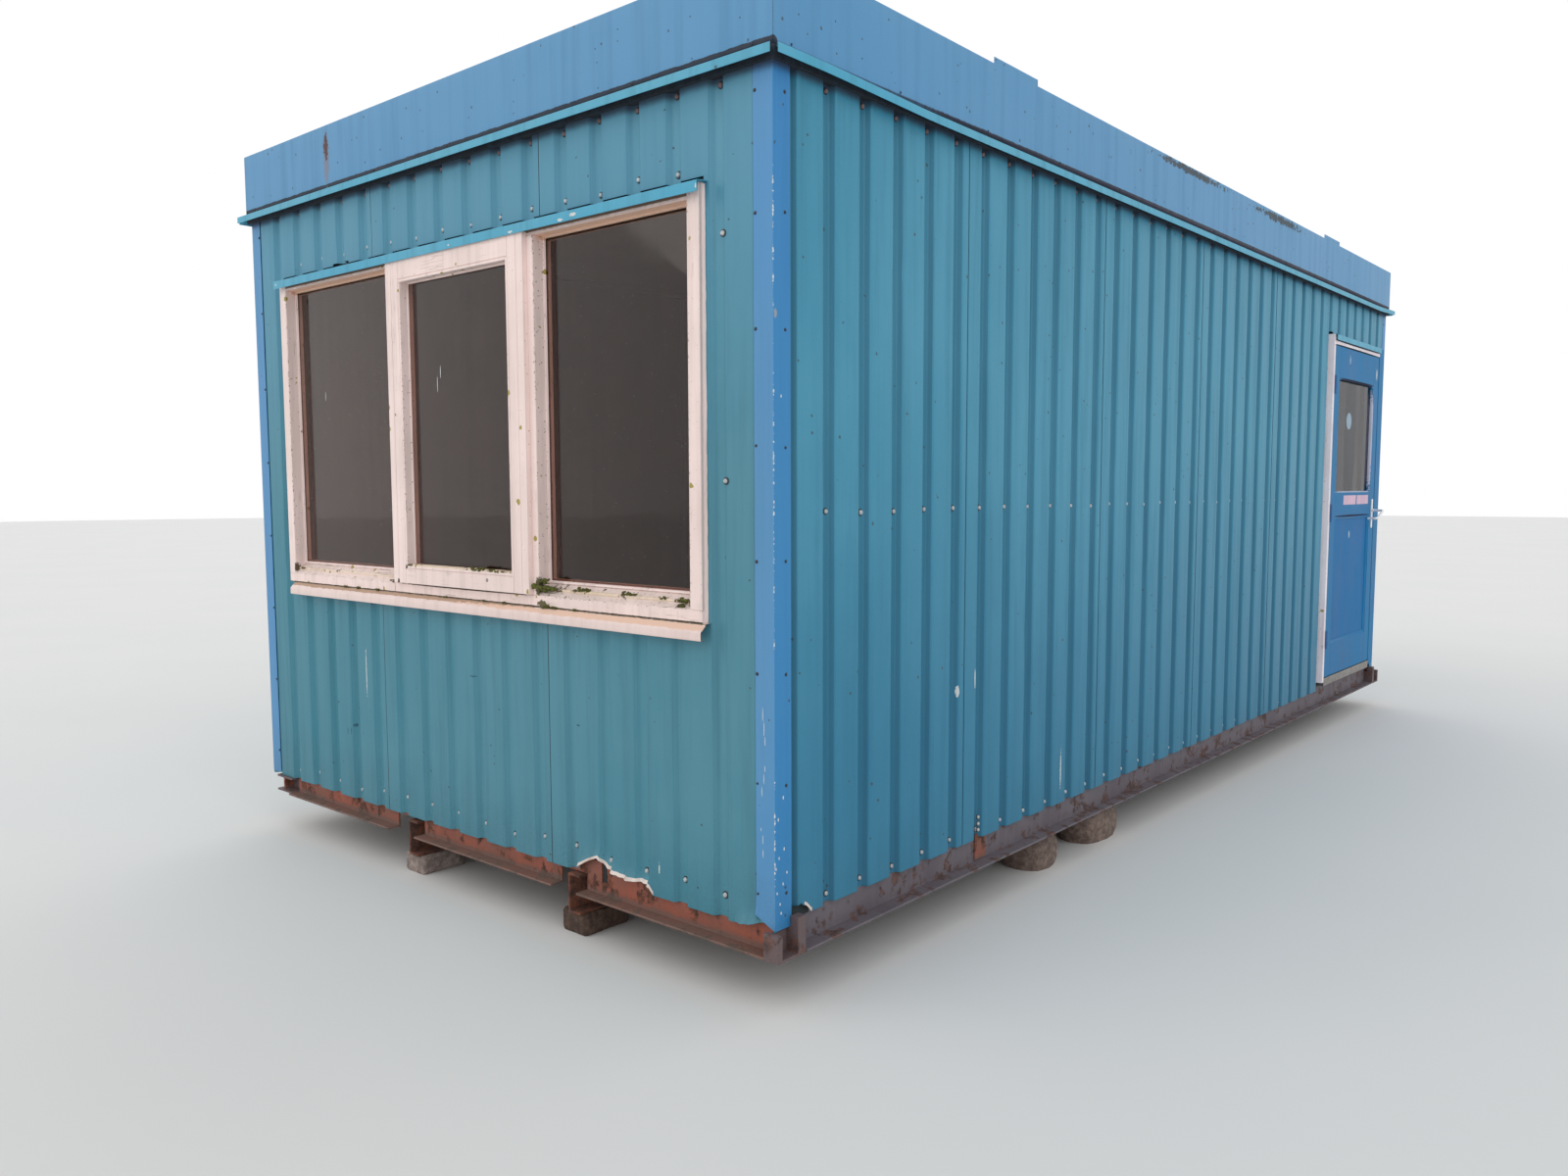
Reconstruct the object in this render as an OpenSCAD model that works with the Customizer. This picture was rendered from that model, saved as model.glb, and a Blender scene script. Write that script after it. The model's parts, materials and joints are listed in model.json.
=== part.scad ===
// Portable site cabin on concrete blocks. Lengths are in millimetres.
// The window end faces -Y, the long side with the door faces +X and +Z is up.
// The origin is on the ground below the middle of the bounding box.

/* [Cabin] */
// Width over the ribs of the two long sides
cabin_w = 3000; // [2700:10:3300]
// Length over the ribs of the two ends
cabin_l = 6270; // [6100:10:6900]
// Ground to the underside of the base frame
base_z = 155; // [140:5:200]
// Height of the base frame
base_h = 120; // [115:5:160]
// Clear height of the room over the door frame
lintel_h = 226; // [180:2:300]
// Thickness of a wall panel behind the sheeting
wall_t = 60; // [45:5:90]
// Thickness of the floor deck
deck_t = 22; // [18:1:28]
// Thickness of the insulated roof panel
roof_t = 200; // [160:10:240]
// Thickness of the ceiling board
ceiling_t = 12; // [9:1:15]

/* [Ribbed sheeting] */
// Distance from rib to rib
rib_pitch = 171.4; // [150:0.1:190]
// Depth of a rib
rib_d = 20; // [14:1:24]
// Width of a valley at its mouth
valley_w = 58; // [50:1:66]
// Width of a valley at its floor
valley_floor_w = 34; // [26:1:40]
// Thickness of the sheet
sheet_t = 1; // [0.8:0.1:1.5]
// Gap between one sheet and the next
lap_gap = 1; // [0.5:0.5:3]
// Ribs on one sheet
sheet_ribs = 6; // [4:1:8]
// First valley on a long side, from the window end
side_valley = 77; // [70:1:90]
// Height of the sheeting's lower edge above the underside of the base, at the ends
end_sheet_rise = 70; // [60:5:90]
// The same on the long sides
side_sheet_rise = 96; // [80:2:110]
// Leg of a corner trim
trim_leg = 70; // [60:5:90]
// Thickness of a corner trim
trim_t = 1.5; // [1:0.5:3]
// Height of a corner trim's lower end above the underside of the base
trim_rise = 80; // [80:2:110]
// Height of the slanting cut at the foot of the near trim
trim_cut = 38; // [20:1:60]

/* [Base frame] */
// Steel of the base angles
angle_t = 8; // [6:1:12]
// How far the base reaches past the ribs on the door side
base_right = 35; // [30:1:45]
// How far the base stays inside the ribs on the far long side
base_left_inset = 50; // [40:5:80]
// How far the base reaches past the ribs at the ends
base_end = 28; // [22:1:36]
// Height of a skid channel
skid_h = 138; // [120:2:140]
// Width of a skid channel's flanges
skid_w = 60; // [50:1:70]
// Steel of a skid channel's web
skid_web_t = 7; // [5:1:10]
// Steel of a skid channel's flanges
skid_flange_t = 9; // [6:1:12]
// Web of the right skid, inward from the ribs of the door side
skid_right = 920; // [860:10:960]
// Web of the left skid, inward from the ribs of the door side
skid_left = 1890; // [1840:10:1960]
// Room behind a skid's web in the notch of an end angle
notch_left = 65; // [40:5:120]
// Room beside a skid's flanges in the notch of an end angle
notch_right = 8; // [4:1:12]
// Width of a floor joist
joist_w = 50; // [40:5:60]
// Height of a floor joist
joist_h = 62; // [56:1:70]
// Largest spacing of the floor joists
joist_pitch = 620; // [450:10:700]
// Width of a concrete block
block_w = 125; // [110:5:150]
// Length of a concrete block
block_l = 200; // [180:5:260]
// How far a block starts behind the end of its skid
block_back = 8; // [0:1:30]
// How far a block's middle lies beside its skid's middle
block_side = 22; // [0:1:30]
// Worn edge of a concrete block
block_edge = 10; // [6:1:16]
// Near stone under the door side, from the window end
near_stone_y = 1548; // [1400:10:1700]
// Far stone under the door side, from the window end
far_stone_y = 1998; // [1900:10:2200]
// Length of a stone
stone_l = 276; // [220:4:320]
// Width of a stone
stone_w = 205; // [160:5:240]

/* [Roof edge] */
// Height of the fascia
fascia_h = 246; // [220:2:280]
// Gap between the drip flashing and the fascia
fascia_gap = 10; // [6:1:14]
// How far the fascia's face stands past the ribs
fascia_out = 16; // [14:1:22]
// Steel of the fascia
fascia_t = 2; // [1.5:0.5:3]
// Return of the fascia over the roof
fascia_return = 40; // [30:5:60]
// Reach of the drip flashing past the ribs
drip_out = 48; // [40:1:56]
// Height of the drip flashing's lip
drip_lip = 26; // [20:1:34]
// Fall of the drip flashing to its lip
drip_fall = 5; // [3:1:8]
// Steel of all the flashings
flashing_t = 1.5; // [1:0.5:2]
// Opening left at a corner between two drip flashings
drip_mitre_gap = 30; // [20:1:40]
// Downturn behind the fascia's return
return_turn = 15; // [10:1:20]
// Height of the bent-up tabs on the damaged fascia
tab_h = 20; // [12:1:26]
// Start of the near tab, from the window end
near_tab_y = 1121; // [1000:10:1300]
// Length of the near tab
near_tab_l = 300; // [200:10:340]
// Start of the far tab, before the rear end
far_tab_back = 1453; // [1300:10:1600]
// Length of the far tab
far_tab_l = 293; // [200:10:340]

/* [Window] */
// From the ribs of a long side to the frame
window_inset = 262; // [230:2:300]
// Height over the frame
window_h = 1261; // [1200:1:1320]
// Underside of the frame above the underside of the base
window_rise = 948; // [900:4:1000]
// Depth of the frame
frame_d = 95; // [90:1:110]
// How far a frame's face stands past the ribs
frame_out = 20; // [15:1:26]
// Width of a jamb
jamb_w = 50; // [44:1:60]
// Width of a mullion
mullion_w = 44; // [38:1:56]
// Width of the left light
left_light_w = 772; // [740:4:800]
// Width of the right light
right_light_w = 712; // [680:4:740]
// Height of the frame's head
frame_head_h = 43; // [38:1:52]
// Height of the frame's bottom rail under the sash
frame_bottom_h = 54; // [50:1:60]
// Height of the bottom rail's face under a fixed light
rail_face_h = 38; // [34:1:44]
// Height to which the bottom rail slopes up at the fixed glass
ledge_h = 81; // [72:1:90]
// Width of a stile of the sash
sash_stile_w = 94; // [80:1:104]
// Height of the sash's top rail
sash_top_h = 80; // [70:1:92]
// Height of the sash's bottom rail
sash_bottom_h = 67; // [58:1:80]
// How far the sash laps over the mullions and rails
sash_lap = 13; // [8:1:18]
// How far the sash's face stands past the ribs
sash_out = 38; // [34:1:46]
// Thickness of the glass
glass_t = 5; // [4:1:8]
// Depth of the fixed glass behind the ribs
glass_back = 30; // [24:1:40]
// Depth of the sill's nose below the frame
sill_h = 50; // [42:1:60]
// Fall of the sill to its nose
sill_fall = 22; // [14:1:28]
// Reach of the sill past the ribs
sill_out = 44; // [40:1:52]
// Reach of a head flashing past the ribs
head_out = 46; // [42:1:54]
// Height of a head flashing's lip
head_lip = 34; // [26:1:42]

/* [Door] */
// Width of the leaf
leaf_w = 975; // [900:5:1000]
// Height of the leaf
leaf_h = 2015; // [1980:5:2080]
// Thickness of the leaf
leaf_t = 40; // [38:1:46]
// How far the leaf's face stands past the ribs
leaf_out = 18; // [14:1:20]
// Width of the hinge jamb's face
door_jamb_w = 45; // [40:1:60]
// Width of the lock jamb's face, up to the rear wall
lock_jamb_w = 102; // [80:2:120]
// Gap at the hinges, the head and the threshold
door_gap = 5; // [5:0.5:6]
// Gap at the lock side
lock_gap = 7; // [6.5:0.5:9]
// Gap between the leaf's back and its stops
stop_gap = 5; // [5:0.5:7]
// Width of a stop
stop_w = 15; // [12:1:20]
// Height of the door frame's head
door_head_h = 57; // [50:1:70]
// Threshold above the floor
threshold_h = 25; // [20:1:35]
// Width of a stile
stile_w = 105; // [95:1:120]
// Height of the top rail
top_rail_h = 191; // [160:1:210]
// Height of the glass
door_glass_h = 692; // [640:4:720]
// Height of the lock rail
lock_rail_h = 149; // [130:1:170]
// Height of the bottom rail
bottom_rail_h = 200; // [160:5:240]
// Thickness of the lower panel
panel_t = 18; // [12:1:20]
// Diameter of a hinge knuckle
knuckle_d = 14; // [12:1:16]
// Height of a hinge
hinge_h = 110; // [90:2:130]
// Thickness of a hinge leaf
hinge_leaf_t = 2; // [1.5:0.5:2]
// Width of a hinge leaf
hinge_leaf_w = 36; // [30:1:40]
// Clearance of a hinge pin in its knuckle
pin_clear = 0.3; // [0.2:0.1:0.5]

/* [Door furniture] */
// Width of a handle plate
plate_w = 28; // [24:1:36]
// Height of a handle plate
plate_h = 190; // [170:5:240]
// Thickness of a handle plate
plate_t = 6; // [4:1:8]
// Lever above the floor
lever_rise = 1040; // [1000:5:1080]
// Distance of the lever from the leaf's edge
lever_backset = 52; // [48:1:56]
// Lever below the top of its plate
lever_drop = 75; // [60:5:90]
// Diameter of the lever's bar
lever_d = 16; // [14:1:18]
// Reach of the lever past its plate
lever_reach = 68; // [60:1:76]
// Length of the lever's grip
lever_l = 112; // [100:2:130]
// Bend of the lever
lever_bend = 18; // [16:1:24]
// Angle at which the lever droops
lever_droop = 20; // [0:1:25]
// Clearance of the spindle in the leaf and the plates
spindle_clear = 0.6; // [0.4:0.1:1]

/* [Hidden] */
$fn = 48;

// Colours
teal = "#3c8c93";
blue = "#3f7fb5";
turquoise = "#5fb8cf";
cream = "#e6dcd2";
oxide = "#7d4636";
brown = "#544a48";
concrete = "#a39a8c";
lining = "#b9b3a8";
pane = [0.45, 0.5, 0.52, 0.4];
steel = "#c4c6c8";
plywood = "#9a8468";

// The lever stands out further than the drip flashing on the other side, so
// the cabin is moved sideways to keep the origin below the middle of the box.
lever_x = leaf_out + plate_t + lever_reach;
mid_x = (drip_out - lever_x - lever_d / 2) / 2;
x_right = mid_x + cabin_w / 2;
x_left = mid_x - cabin_w / 2;
y_front = -cabin_l / 2;
y_rear = cabin_l / 2;

// Along the door side, from the window end
lock_side = cabin_l - rib_d - sheet_t - wall_t - lock_jamb_w;
hinge_side = lock_side - lock_gap - leaf_w - door_gap;
door_y = hinge_side - door_jamb_w;

// Heights
room_h = threshold_h + 2 * door_gap + leaf_h + door_head_h + lintel_h;
base_top = base_z + base_h;
skid_top = base_top - joist_h;
skid_z = skid_top - skid_h;
floor_z = base_top + deck_t;
wall_top = floor_z + room_h + ceiling_t;
window_z = base_z + window_rise;
window_top = window_z + window_h;
door_z = floor_z + threshold_h + door_gap;
door_top = door_z + leaf_h;
door_head_z = door_top + door_gap;
door_head_top = door_head_z + door_head_h;
fascia_z = wall_top + drip_lip + fascia_gap;
fascia_top = fascia_z + fascia_h;
lever_z = floor_z + lever_rise;

// Depths from the ribs
skin_d = rib_d + sheet_t;
wall_d = skin_d + wall_t;
fascia_back = fascia_out - fascia_t;
leaf_back = leaf_t - leaf_out;
stop_back = leaf_back + stop_gap;

// Window
window_w = cabin_w - 2 * window_inset;
centre_light_w = window_w - 2 * jamb_w - 2 * mullion_w - left_light_w - right_light_w;
window_x = x_left + window_inset;
left_light_x = window_x + jamb_w;
centre_light_x = left_light_x + left_light_w + mullion_w;
right_light_x = centre_light_x + centre_light_w + mullion_w;
light_z = window_z + ledge_h;
light_h = window_h - ledge_h - frame_head_h;
head_z = light_z + light_h;
sash_x = centre_light_x - sash_lap;
sash_z = window_z + frame_bottom_h - sash_lap;
sash_w = centre_light_w + 2 * sash_lap;
sash_h = head_z + sash_lap - sash_z;
sash_play = 3;
sash_d = 58;
sash_glass_out = 3;

// Door
leaf_y = y_front + hinge_side + door_gap;
leaf_end = leaf_y + leaf_w;
lever_y = leaf_end - lever_backset;
hinge_x = x_right + frame_out + knuckle_d / 2 + 0.6;
hinge_y = y_front + hinge_side + door_gap / 2;
panel_z = door_z + bottom_rail_h;
panel_h = leaf_h - bottom_rail_h - lock_rail_h - door_glass_h - top_rail_h;
lock_rail_z = panel_z + panel_h;
door_glass_z = lock_rail_z + lock_rail_h;
door_glass_t = 4;
panel_back = 12;
hinge_inset = 180;
hinge_half = (hinge_h - 0.4) / 2;
pin_r = 4;
pin_top = 6;

// Base
skid_xs = [x_right - skid_right, x_right - skid_left];
skid_over = 5;
notch_extra = 50;
web_back = skin_d + angle_t;
stub_side = 98;
stub_flange = 20;
stub_block = 53;
stub_top = 32;
stub_proud = 3;
left_stub_w = 135;
left_stub_d = 50;
joist_run = cabin_l - 2 * left_stub_d - joist_w;
joists = ceil(joist_run / joist_pitch);

// Sheeting
end_ribs = floor((cabin_w - valley_w - 16) / rib_pitch);
end_valley = (cabin_w - end_ribs * rib_pitch) / 2;
sheet_start = sheet_t + lap_gap;
lap_margin = 2;
end_sheet_z = base_z + end_sheet_rise;
side_sheet_z = base_z + side_sheet_rise;

// Torn and bent edges as [along, up] from the lower edge of the sheet
torn_edge = [[-880, -1], [-868, 19], [-800, 56], [-762, 71], [-742, 46], [-725, 37],
    [-640, 30], [-536, 29], [-520, 20], [-512, -1]];
curled_edge = [[-160, -1], [-158, 4], [-104, 12], [-45, 26], [-8, 26], [-8, -1]];
side_tear = [[96, -1], [104, 12], [122, 19], [138, 10], [146, -1]];
tabs = [[near_tab_y, near_tab_l], [cabin_l - far_tab_back, far_tab_l]];

// Lever
spindle_r = 5;
collar_r = 10;
collar_l = 8;
lever_gap = 0.5;
lever_tip = 10;

// Parallel to a line at distance t on its left, with mitred corners
function unit(v) = v / norm(v);
function left_of(v) = [-v[1], v[0]];
function reversed(line) = [for (i = [len(line) - 1 : -1 : 0]) line[i]];
function heading(line, i) = unit(line[i + 1] - line[i]);
function beside(line, i, t) =
    let (
        before = heading(line, max(i - 1, 0)),
        after = heading(line, min(i, len(line) - 2))
    )
    line[i] + (left_of(before) + left_of(after)) * t / (1 + before * after);
function folded(line, t) =
    concat(line, reversed([for (i = [0 : len(line) - 1]) beside(line, i, t)]));

// Valleys that lie wholly between two lines
function valleys(from, to, first) =
    [for (v = [first : rib_pitch : to])
        if (v - valley_w / 2 > from + sheet_t && v + valley_w / 2 < to - sheet_t) v];

// Outer face of a ribbed sheet as [along, out]
function rib_line(from, to, first) = concat(
    [[from, 0]],
    [for (v = valleys(from, to, first))
        for (p = [[-valley_w, 0], [-valley_floor_w, -rib_d], [valley_floor_w, -rib_d], [valley_w, 0]])
            [v + p[0] / 2, p[1]]],
    [[to, 0]]
);

// Where a sheet starts: just before every sixth valley
function laps(from, to, first) =
    [for (v = [first - valley_w / 2 - lap_margin : sheet_ribs * rib_pitch : to])
        if (v > from + 2 * rib_pitch && v < to - rib_pitch) v];

// Ribbed sheets from one line to another, standing up from z = 0 and facing -Y
module ribbed_sheets(from, to, first, height) {
    starts = concat([from], laps(from, to, first));
    for (i = [0 : len(starts) - 1]) {
        end = i == len(starts) - 1 ? to : starts[i + 1] - lap_gap;
        linear_extrude(height)
            mirror([0, 1])
                polygon(folded(rib_line(starts[i], end, first), -sheet_t));
    }
}

// A length facing -Y, its section given as [out, up]
module moulding(length, section) {
    rotate([90, 0, 90])
        linear_extrude(length)
            mirror([1, 0])
                polygon(section);
}

// A strip of folded sheet facing -Y, its outer face given as [out, up]
module strip(length, line, t) {
    moulding(length, folded(line, t));
}

// A strip round the roof, cut at 45 degrees at both corners
module mitred_strip(length, line, t, gap) {
    reach = drip_out + 10;
    depth = fascia_return + 10;
    intersection() {
        translate([-reach, 0, 0])
            strip(length + 2 * reach, line, t);
        linear_extrude(2 * fascia_h)
            polygon([
                [gap / 2 - reach, -reach],
                [length + reach - gap / 2, -reach],
                [length - depth - gap / 2, depth],
                [depth + gap / 2, depth]
            ]);
    }
}

// A cut through a sheet that faces -Y, given as [along, up]
module sheet_cut(outline) {
    translate([0, 2 * rib_d, 0])
        rotate([90, 0, 0])
            linear_extrude(4 * rib_d)
                polygon(outline);
}

// What faces -Y is set at an end or turned to a long side, with x along it.
module at_front(z = 0) {
    translate([x_left, y_front, z])
        children();
}

module at_right(z = 0) {
    translate([x_right, y_front, z])
        rotate(90)
            children();
}

module at_rear(z = 0) {
    translate([x_right, y_rear, z])
        rotate(180)
            children();
}

module at_left(z = 0) {
    translate([x_left, y_rear, z])
        rotate(-90)
            children();
}

module both_ends() {
    children();
    mirror([0, 1, 0])
        children();
}

module both_sides() {
    children();
    translate([2 * mid_x, 0, 0])
        mirror([1, 0, 0])
            children();
}

// A box from its lowest to its highest corner
module box(low, high) {
    translate(low)
        cube(high - low);
}

// A box whose y is counted from the window end and x from the ribs of the door side
module side_box(low, high) {
    translate([x_right, y_front, 0])
        box(low, high);
}

module support_blocks() {
    color(concrete)
        both_ends()
            for (x = skid_xs)
                translate([x + (skid_w - block_w) / 2 - block_side, y_front + block_back, 0])
                    linear_extrude(skid_z)
                        polygon([
                            [block_edge, 0],
                            [block_w - block_edge / 2, 0],
                            [block_w, block_edge],
                            [block_w, block_l],
                            [0, block_l],
                            [0, block_edge / 2]
                        ]);
}

// A rough stone with its outer side at x = 0
module stone(length) {
    linear_extrude(base_z)
        polygon([
            [-stone_w, 0.05 * length],
            [-0.15 * stone_w, 0],
            [0, 0.2 * length],
            [-0.04 * stone_w, 0.86 * length],
            [-0.3 * stone_w, length],
            [-0.93 * stone_w, 0.95 * length]
        ]);
}

module side_stones() {
    color(concrete) {
        translate([x_right, y_front + near_stone_y, 0])
            stone(stone_l);
        translate([x_right + 4, y_front + far_stone_y, 0])
            stone(1.2 * stone_l);
    }
}

module skid_channels() {
    color(brown)
        for (x = skid_xs)
            translate([x, y_rear + skid_over, skid_z])
                rotate([90, 0, 0])
                    linear_extrude(cabin_l + 2 * skid_over)
                        difference() {
                            square([skid_w, skid_h]);
                            translate([skid_web_t, skid_flange_t])
                                square([skid_w, skid_h - 2 * skid_flange_t]);
                        }
}

module base_side_beams() {
    inner = cabin_w - base_left_inset;
    color(oxide) {
        side_box([-web_back, stub_side, base_z], [-skin_d, cabin_l - stub_side, base_top]);
        side_box([-skin_d, stub_side, base_z], [base_right, cabin_l - stub_side, base_z + angle_t]);
        side_box([-inner, left_stub_d, base_z], [angle_t - inner, cabin_l - left_stub_d, base_top]);
        side_box(
            [angle_t - inner, left_stub_d, base_z],
            [skid_w - inner, cabin_l - left_stub_d, base_z + angle_t]
        );
    }
}

// An angle with a notch for each skid
module end_beam() {
    start = x_left + base_left_inset + left_stub_w;
    difference() {
        union() {
            box([start, y_front + skin_d, base_z], [x_right - skin_d, y_front + web_back, base_top]);
            box(
                [start, y_front - base_end, base_z],
                [x_right - skin_d, y_front + skin_d, base_z + angle_t]
            );
        }
        for (i = [0, 1])
            box(
                [skid_xs[i] - notch_left - i * notch_extra, y_front - base_end - 1, base_z - 1],
                [skid_xs[i] + skid_w + notch_right, y_front + web_back + 1, skid_top + 2]
            );
    }
}

module base_end_beams() {
    color(oxide)
        both_ends()
            end_beam();
}

module right_stub() {
    block_y = stub_side - stub_block;
    side_box([-skin_d, -base_end, base_z], [base_right, stub_flange - base_end, base_z + trim_rise]);
    side_box([-skin_d, stub_flange - base_end, base_z], [angle_t - skin_d, block_y, end_sheet_z]);
    side_box([-skin_d, stub_flange - base_end, base_z], [base_right, block_y, base_z + angle_t]);
    side_box([-skin_d, block_y, base_z], [base_right - 2, stub_side, base_z + trim_rise]);
    side_box([stub_proud, block_y, base_z], [base_right - 2, stub_side, base_z + trim_rise + stub_top]);
}

// A short channel that opens towards the end
module left_stub() {
    low = x_left + base_left_inset;
    high = low + left_stub_w;
    back = y_front + left_stub_d;
    box([low, back - angle_t, base_z], [high, back, end_sheet_z]);
    box([low, y_front - 10, base_z], [high, back, base_z + angle_t]);
    box([low, y_front - 10, end_sheet_z - angle_t], [high, back, end_sheet_z]);
}

module corner_stubs() {
    color(oxide)
        both_ends() {
            right_stub();
            left_stub();
        }
}

module floor_joists() {
    length = cabin_w - base_left_inset - angle_t - web_back;
    color(plywood)
        for (i = [0 : joists])
            translate([x_right - web_back, y_front + left_stub_d + i * joist_run / joists, skid_top])
                mirror([1, 0, 0])
                    cube([length, joist_w, joist_h]);
}

module floor_deck() {
    color(plywood)
        box(
            [x_left + skin_d, y_front + skin_d, base_top],
            [x_right - skin_d, y_rear - skin_d, floor_z]
        );
}

// Part of the wall at the window end
module front_panel(from, to, low, high) {
    color(lining)
        box([from, y_front + skin_d, low], [to, y_front + wall_d, high]);
}

module front_wall_lower() {
    front_panel(x_left + skin_d, x_right - skin_d, floor_z, window_z);
}

module front_wall_upper() {
    front_panel(x_left + skin_d, x_right - skin_d, window_top, wall_top);
}

module front_wall_piers() {
    front_panel(x_left + skin_d, window_x, window_z, window_top);
    front_panel(window_x + window_w, x_right - skin_d, window_z, window_top);
}

module rear_wall() {
    color(lining)
        box([x_left + skin_d, y_rear - wall_d, floor_z], [x_right - skin_d, y_rear - skin_d, wall_top]);
}

module left_wall() {
    color(lining)
        box([x_left + skin_d, y_front + wall_d, floor_z], [x_left + wall_d, y_rear - wall_d, wall_top]);
}

module right_wall() {
    color(lining)
        side_box([-wall_d, wall_d, floor_z], [-skin_d, door_y, wall_top]);
}

module door_lintel_wall() {
    color(lining)
        side_box([-wall_d, door_y, door_head_top], [-skin_d, cabin_l - wall_d, wall_top]);
}

module front_cladding() {
    color(teal)
        at_front(end_sheet_z)
            difference() {
                ribbed_sheets(0, cabin_w, end_valley, wall_top - end_sheet_z);
                translate([window_inset, -1, window_z - end_sheet_z])
                    cube([window_w, 2 * rib_d, window_h]);
                translate([cabin_w, 0, 0]) {
                    sheet_cut(torn_edge);
                    sheet_cut(curled_edge);
                }
            }
}

module rear_cladding() {
    color(teal)
        at_rear(end_sheet_z)
            ribbed_sheets(0, cabin_w, end_valley, wall_top - end_sheet_z);
}

module left_cladding() {
    color(teal)
        at_left(side_sheet_z)
            ribbed_sheets(sheet_start, cabin_l - sheet_start, side_valley, wall_top - side_sheet_z);
}

module right_cladding() {
    color(teal) {
        at_right(side_sheet_z)
            difference() {
                ribbed_sheets(sheet_start, door_y, side_valley, wall_top - side_sheet_z);
                sheet_cut(side_tear);
            }
        at_right(door_head_top + flashing_t)
            ribbed_sheets(
                door_y + lap_gap,
                cabin_l - sheet_start,
                side_valley,
                wall_top - door_head_top - flashing_t
            );
    }
}

module corner_trim() {
    translate([x_right, y_front, base_z + trim_rise])
        linear_extrude(wall_top - base_z - trim_rise)
            difference() {
                translate([-trim_leg, -trim_t])
                    square(trim_leg + trim_t);
                translate([-trim_leg, 0])
                    square(trim_leg);
            }
}

// The near trim's foot is cut off at a slant at the window end.
module corner_trims() {
    color(blue) {
        difference() {
            corner_trim();
            translate([x_right, y_front, base_z + trim_rise])
                sheet_cut([[-trim_leg - 1, -1], [-trim_leg - 1, trim_cut], [-trim_t, -1]]);
        }
        mirror([0, 1, 0])
            corner_trim();
        translate([2 * mid_x, 0, 0])
            mirror([1, 0, 0])
                both_ends()
                    corner_trim();
    }
}

module roof_panel() {
    color(cream)
        box(
            [x_left - fascia_back, y_front - fascia_back, wall_top],
            [x_right + fascia_back, y_rear + fascia_back, wall_top + roof_t]
        );
}

module ceiling() {
    color(lining)
        box(
            [x_left + wall_d, y_front + wall_d, wall_top - ceiling_t],
            [x_right - wall_d, y_rear - wall_d, wall_top]
        );
}

// A fascia with a return over the roof and a downturn behind it
module fascia(length) {
    inner = fascia_out - fascia_return;
    mitred_strip(
        length,
        [[fascia_out, 0], [fascia_out, fascia_h], [inner, fascia_h], [inner, fascia_h - return_turn]],
        fascia_t,
        1
    );
}

module front_fascia() {
    color(blue)
        at_front(fascia_z)
            fascia(cabin_w);
}

module rear_fascia() {
    color(blue)
        at_rear(fascia_z)
            fascia(cabin_w);
}

module left_fascia() {
    color(blue)
        at_left(fascia_z)
            fascia(cabin_l);
}

// Two stretches of the return are bent up.
module right_fascia() {
    color(blue)
        at_right(fascia_z) {
            difference() {
                fascia(cabin_l);
                for (tab = tabs)
                    translate([tab[0], -fascia_back, fascia_h - return_turn - 1])
                        cube([tab[1], fascia_return, return_turn + 2]);
            }
            for (tab = tabs)
                translate([tab[0], -fascia_out, fascia_h])
                    cube([tab[1], fascia_t, tab_h]);
        }
}

module drip_flashing(length) {
    root_z = drip_lip + drip_fall;
    mitred_strip(
        length,
        [[fascia_back, root_z], [fascia_out, root_z], [drip_out, drip_lip], [drip_out, 0]],
        -flashing_t,
        drip_mitre_gap
    );
}

module drip_flashings() {
    color(turquoise) {
        at_front(wall_top)
            drip_flashing(cabin_w);
        at_rear(wall_top)
            drip_flashing(cabin_w);
        at_left(wall_top)
            drip_flashing(cabin_l);
        at_right(wall_top)
            drip_flashing(cabin_l);
    }
}

// Lies on the head of a frame and hangs down in front of it.
module head_flashing(length) {
    strip(
        length,
        [[0, flashing_t], [frame_out + 2, flashing_t], [head_out, flashing_t - 4], [head_out, -head_lip]],
        -flashing_t
    );
}

module head_flashings() {
    color(turquoise) {
        translate([window_x, y_front, window_top])
            head_flashing(window_w + 17);
        translate([x_right, y_front + hinge_side, door_head_top])
            rotate(90)
                head_flashing(leaf_w + door_gap + lock_gap + 30);
    }
}

// Upright of the window frame
module window_upright(x, w, low, h) {
    translate([x, y_front - frame_out, low])
        cube([w, frame_d, h]);
}

module window_jambs() {
    foot = window_z + rail_face_h;
    color(cream) {
        for (x = [window_x, window_x + window_w - jamb_w])
            window_upright(x, jamb_w, foot, window_top - foot);
        for (x = [centre_light_x - mullion_w, centre_light_x + centre_light_w])
            window_upright(x, mullion_w, foot, head_z - foot);
    }
}

// The bottom rail slopes up to the glass of the fixed lights.
module window_rails() {
    back = frame_out - frame_d;
    ledge = [[frame_out, rail_face_h], [-glass_back, ledge_h], [back, ledge_h], [back, rail_face_h]];
    color(cream) {
        window_upright(window_x, window_w, window_z, rail_face_h);
        window_upright(centre_light_x, centre_light_w, window_z, frame_bottom_h);
        window_upright(left_light_x, window_w - 2 * jamb_w, head_z, frame_head_h);
        translate([left_light_x, y_front, window_z])
            moulding(left_light_w, ledge);
        translate([right_light_x, y_front, window_z])
            moulding(right_light_w, ledge);
    }
}

// A member of the sash: a lip over the frame and a body inside the opening
module sash_member(x, z, w, h, left, bottom, right, top) {
    inset = sash_lap + sash_play;
    translate([x, y_front - sash_out, z])
        cube([w, sash_out - frame_out, h]);
    translate([x + left * inset, y_front - frame_out, z + bottom * inset])
        cube([w - (left + right) * inset, sash_d - sash_out + frame_out, h - (bottom + top) * inset]);
}

module sash_stiles() {
    color(cream) {
        sash_member(sash_x, sash_z, sash_stile_w, sash_h, 1, 1, 0, 1);
        sash_member(sash_x + sash_w - sash_stile_w, sash_z, sash_stile_w, sash_h, 0, 1, 1, 1);
    }
}

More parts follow.
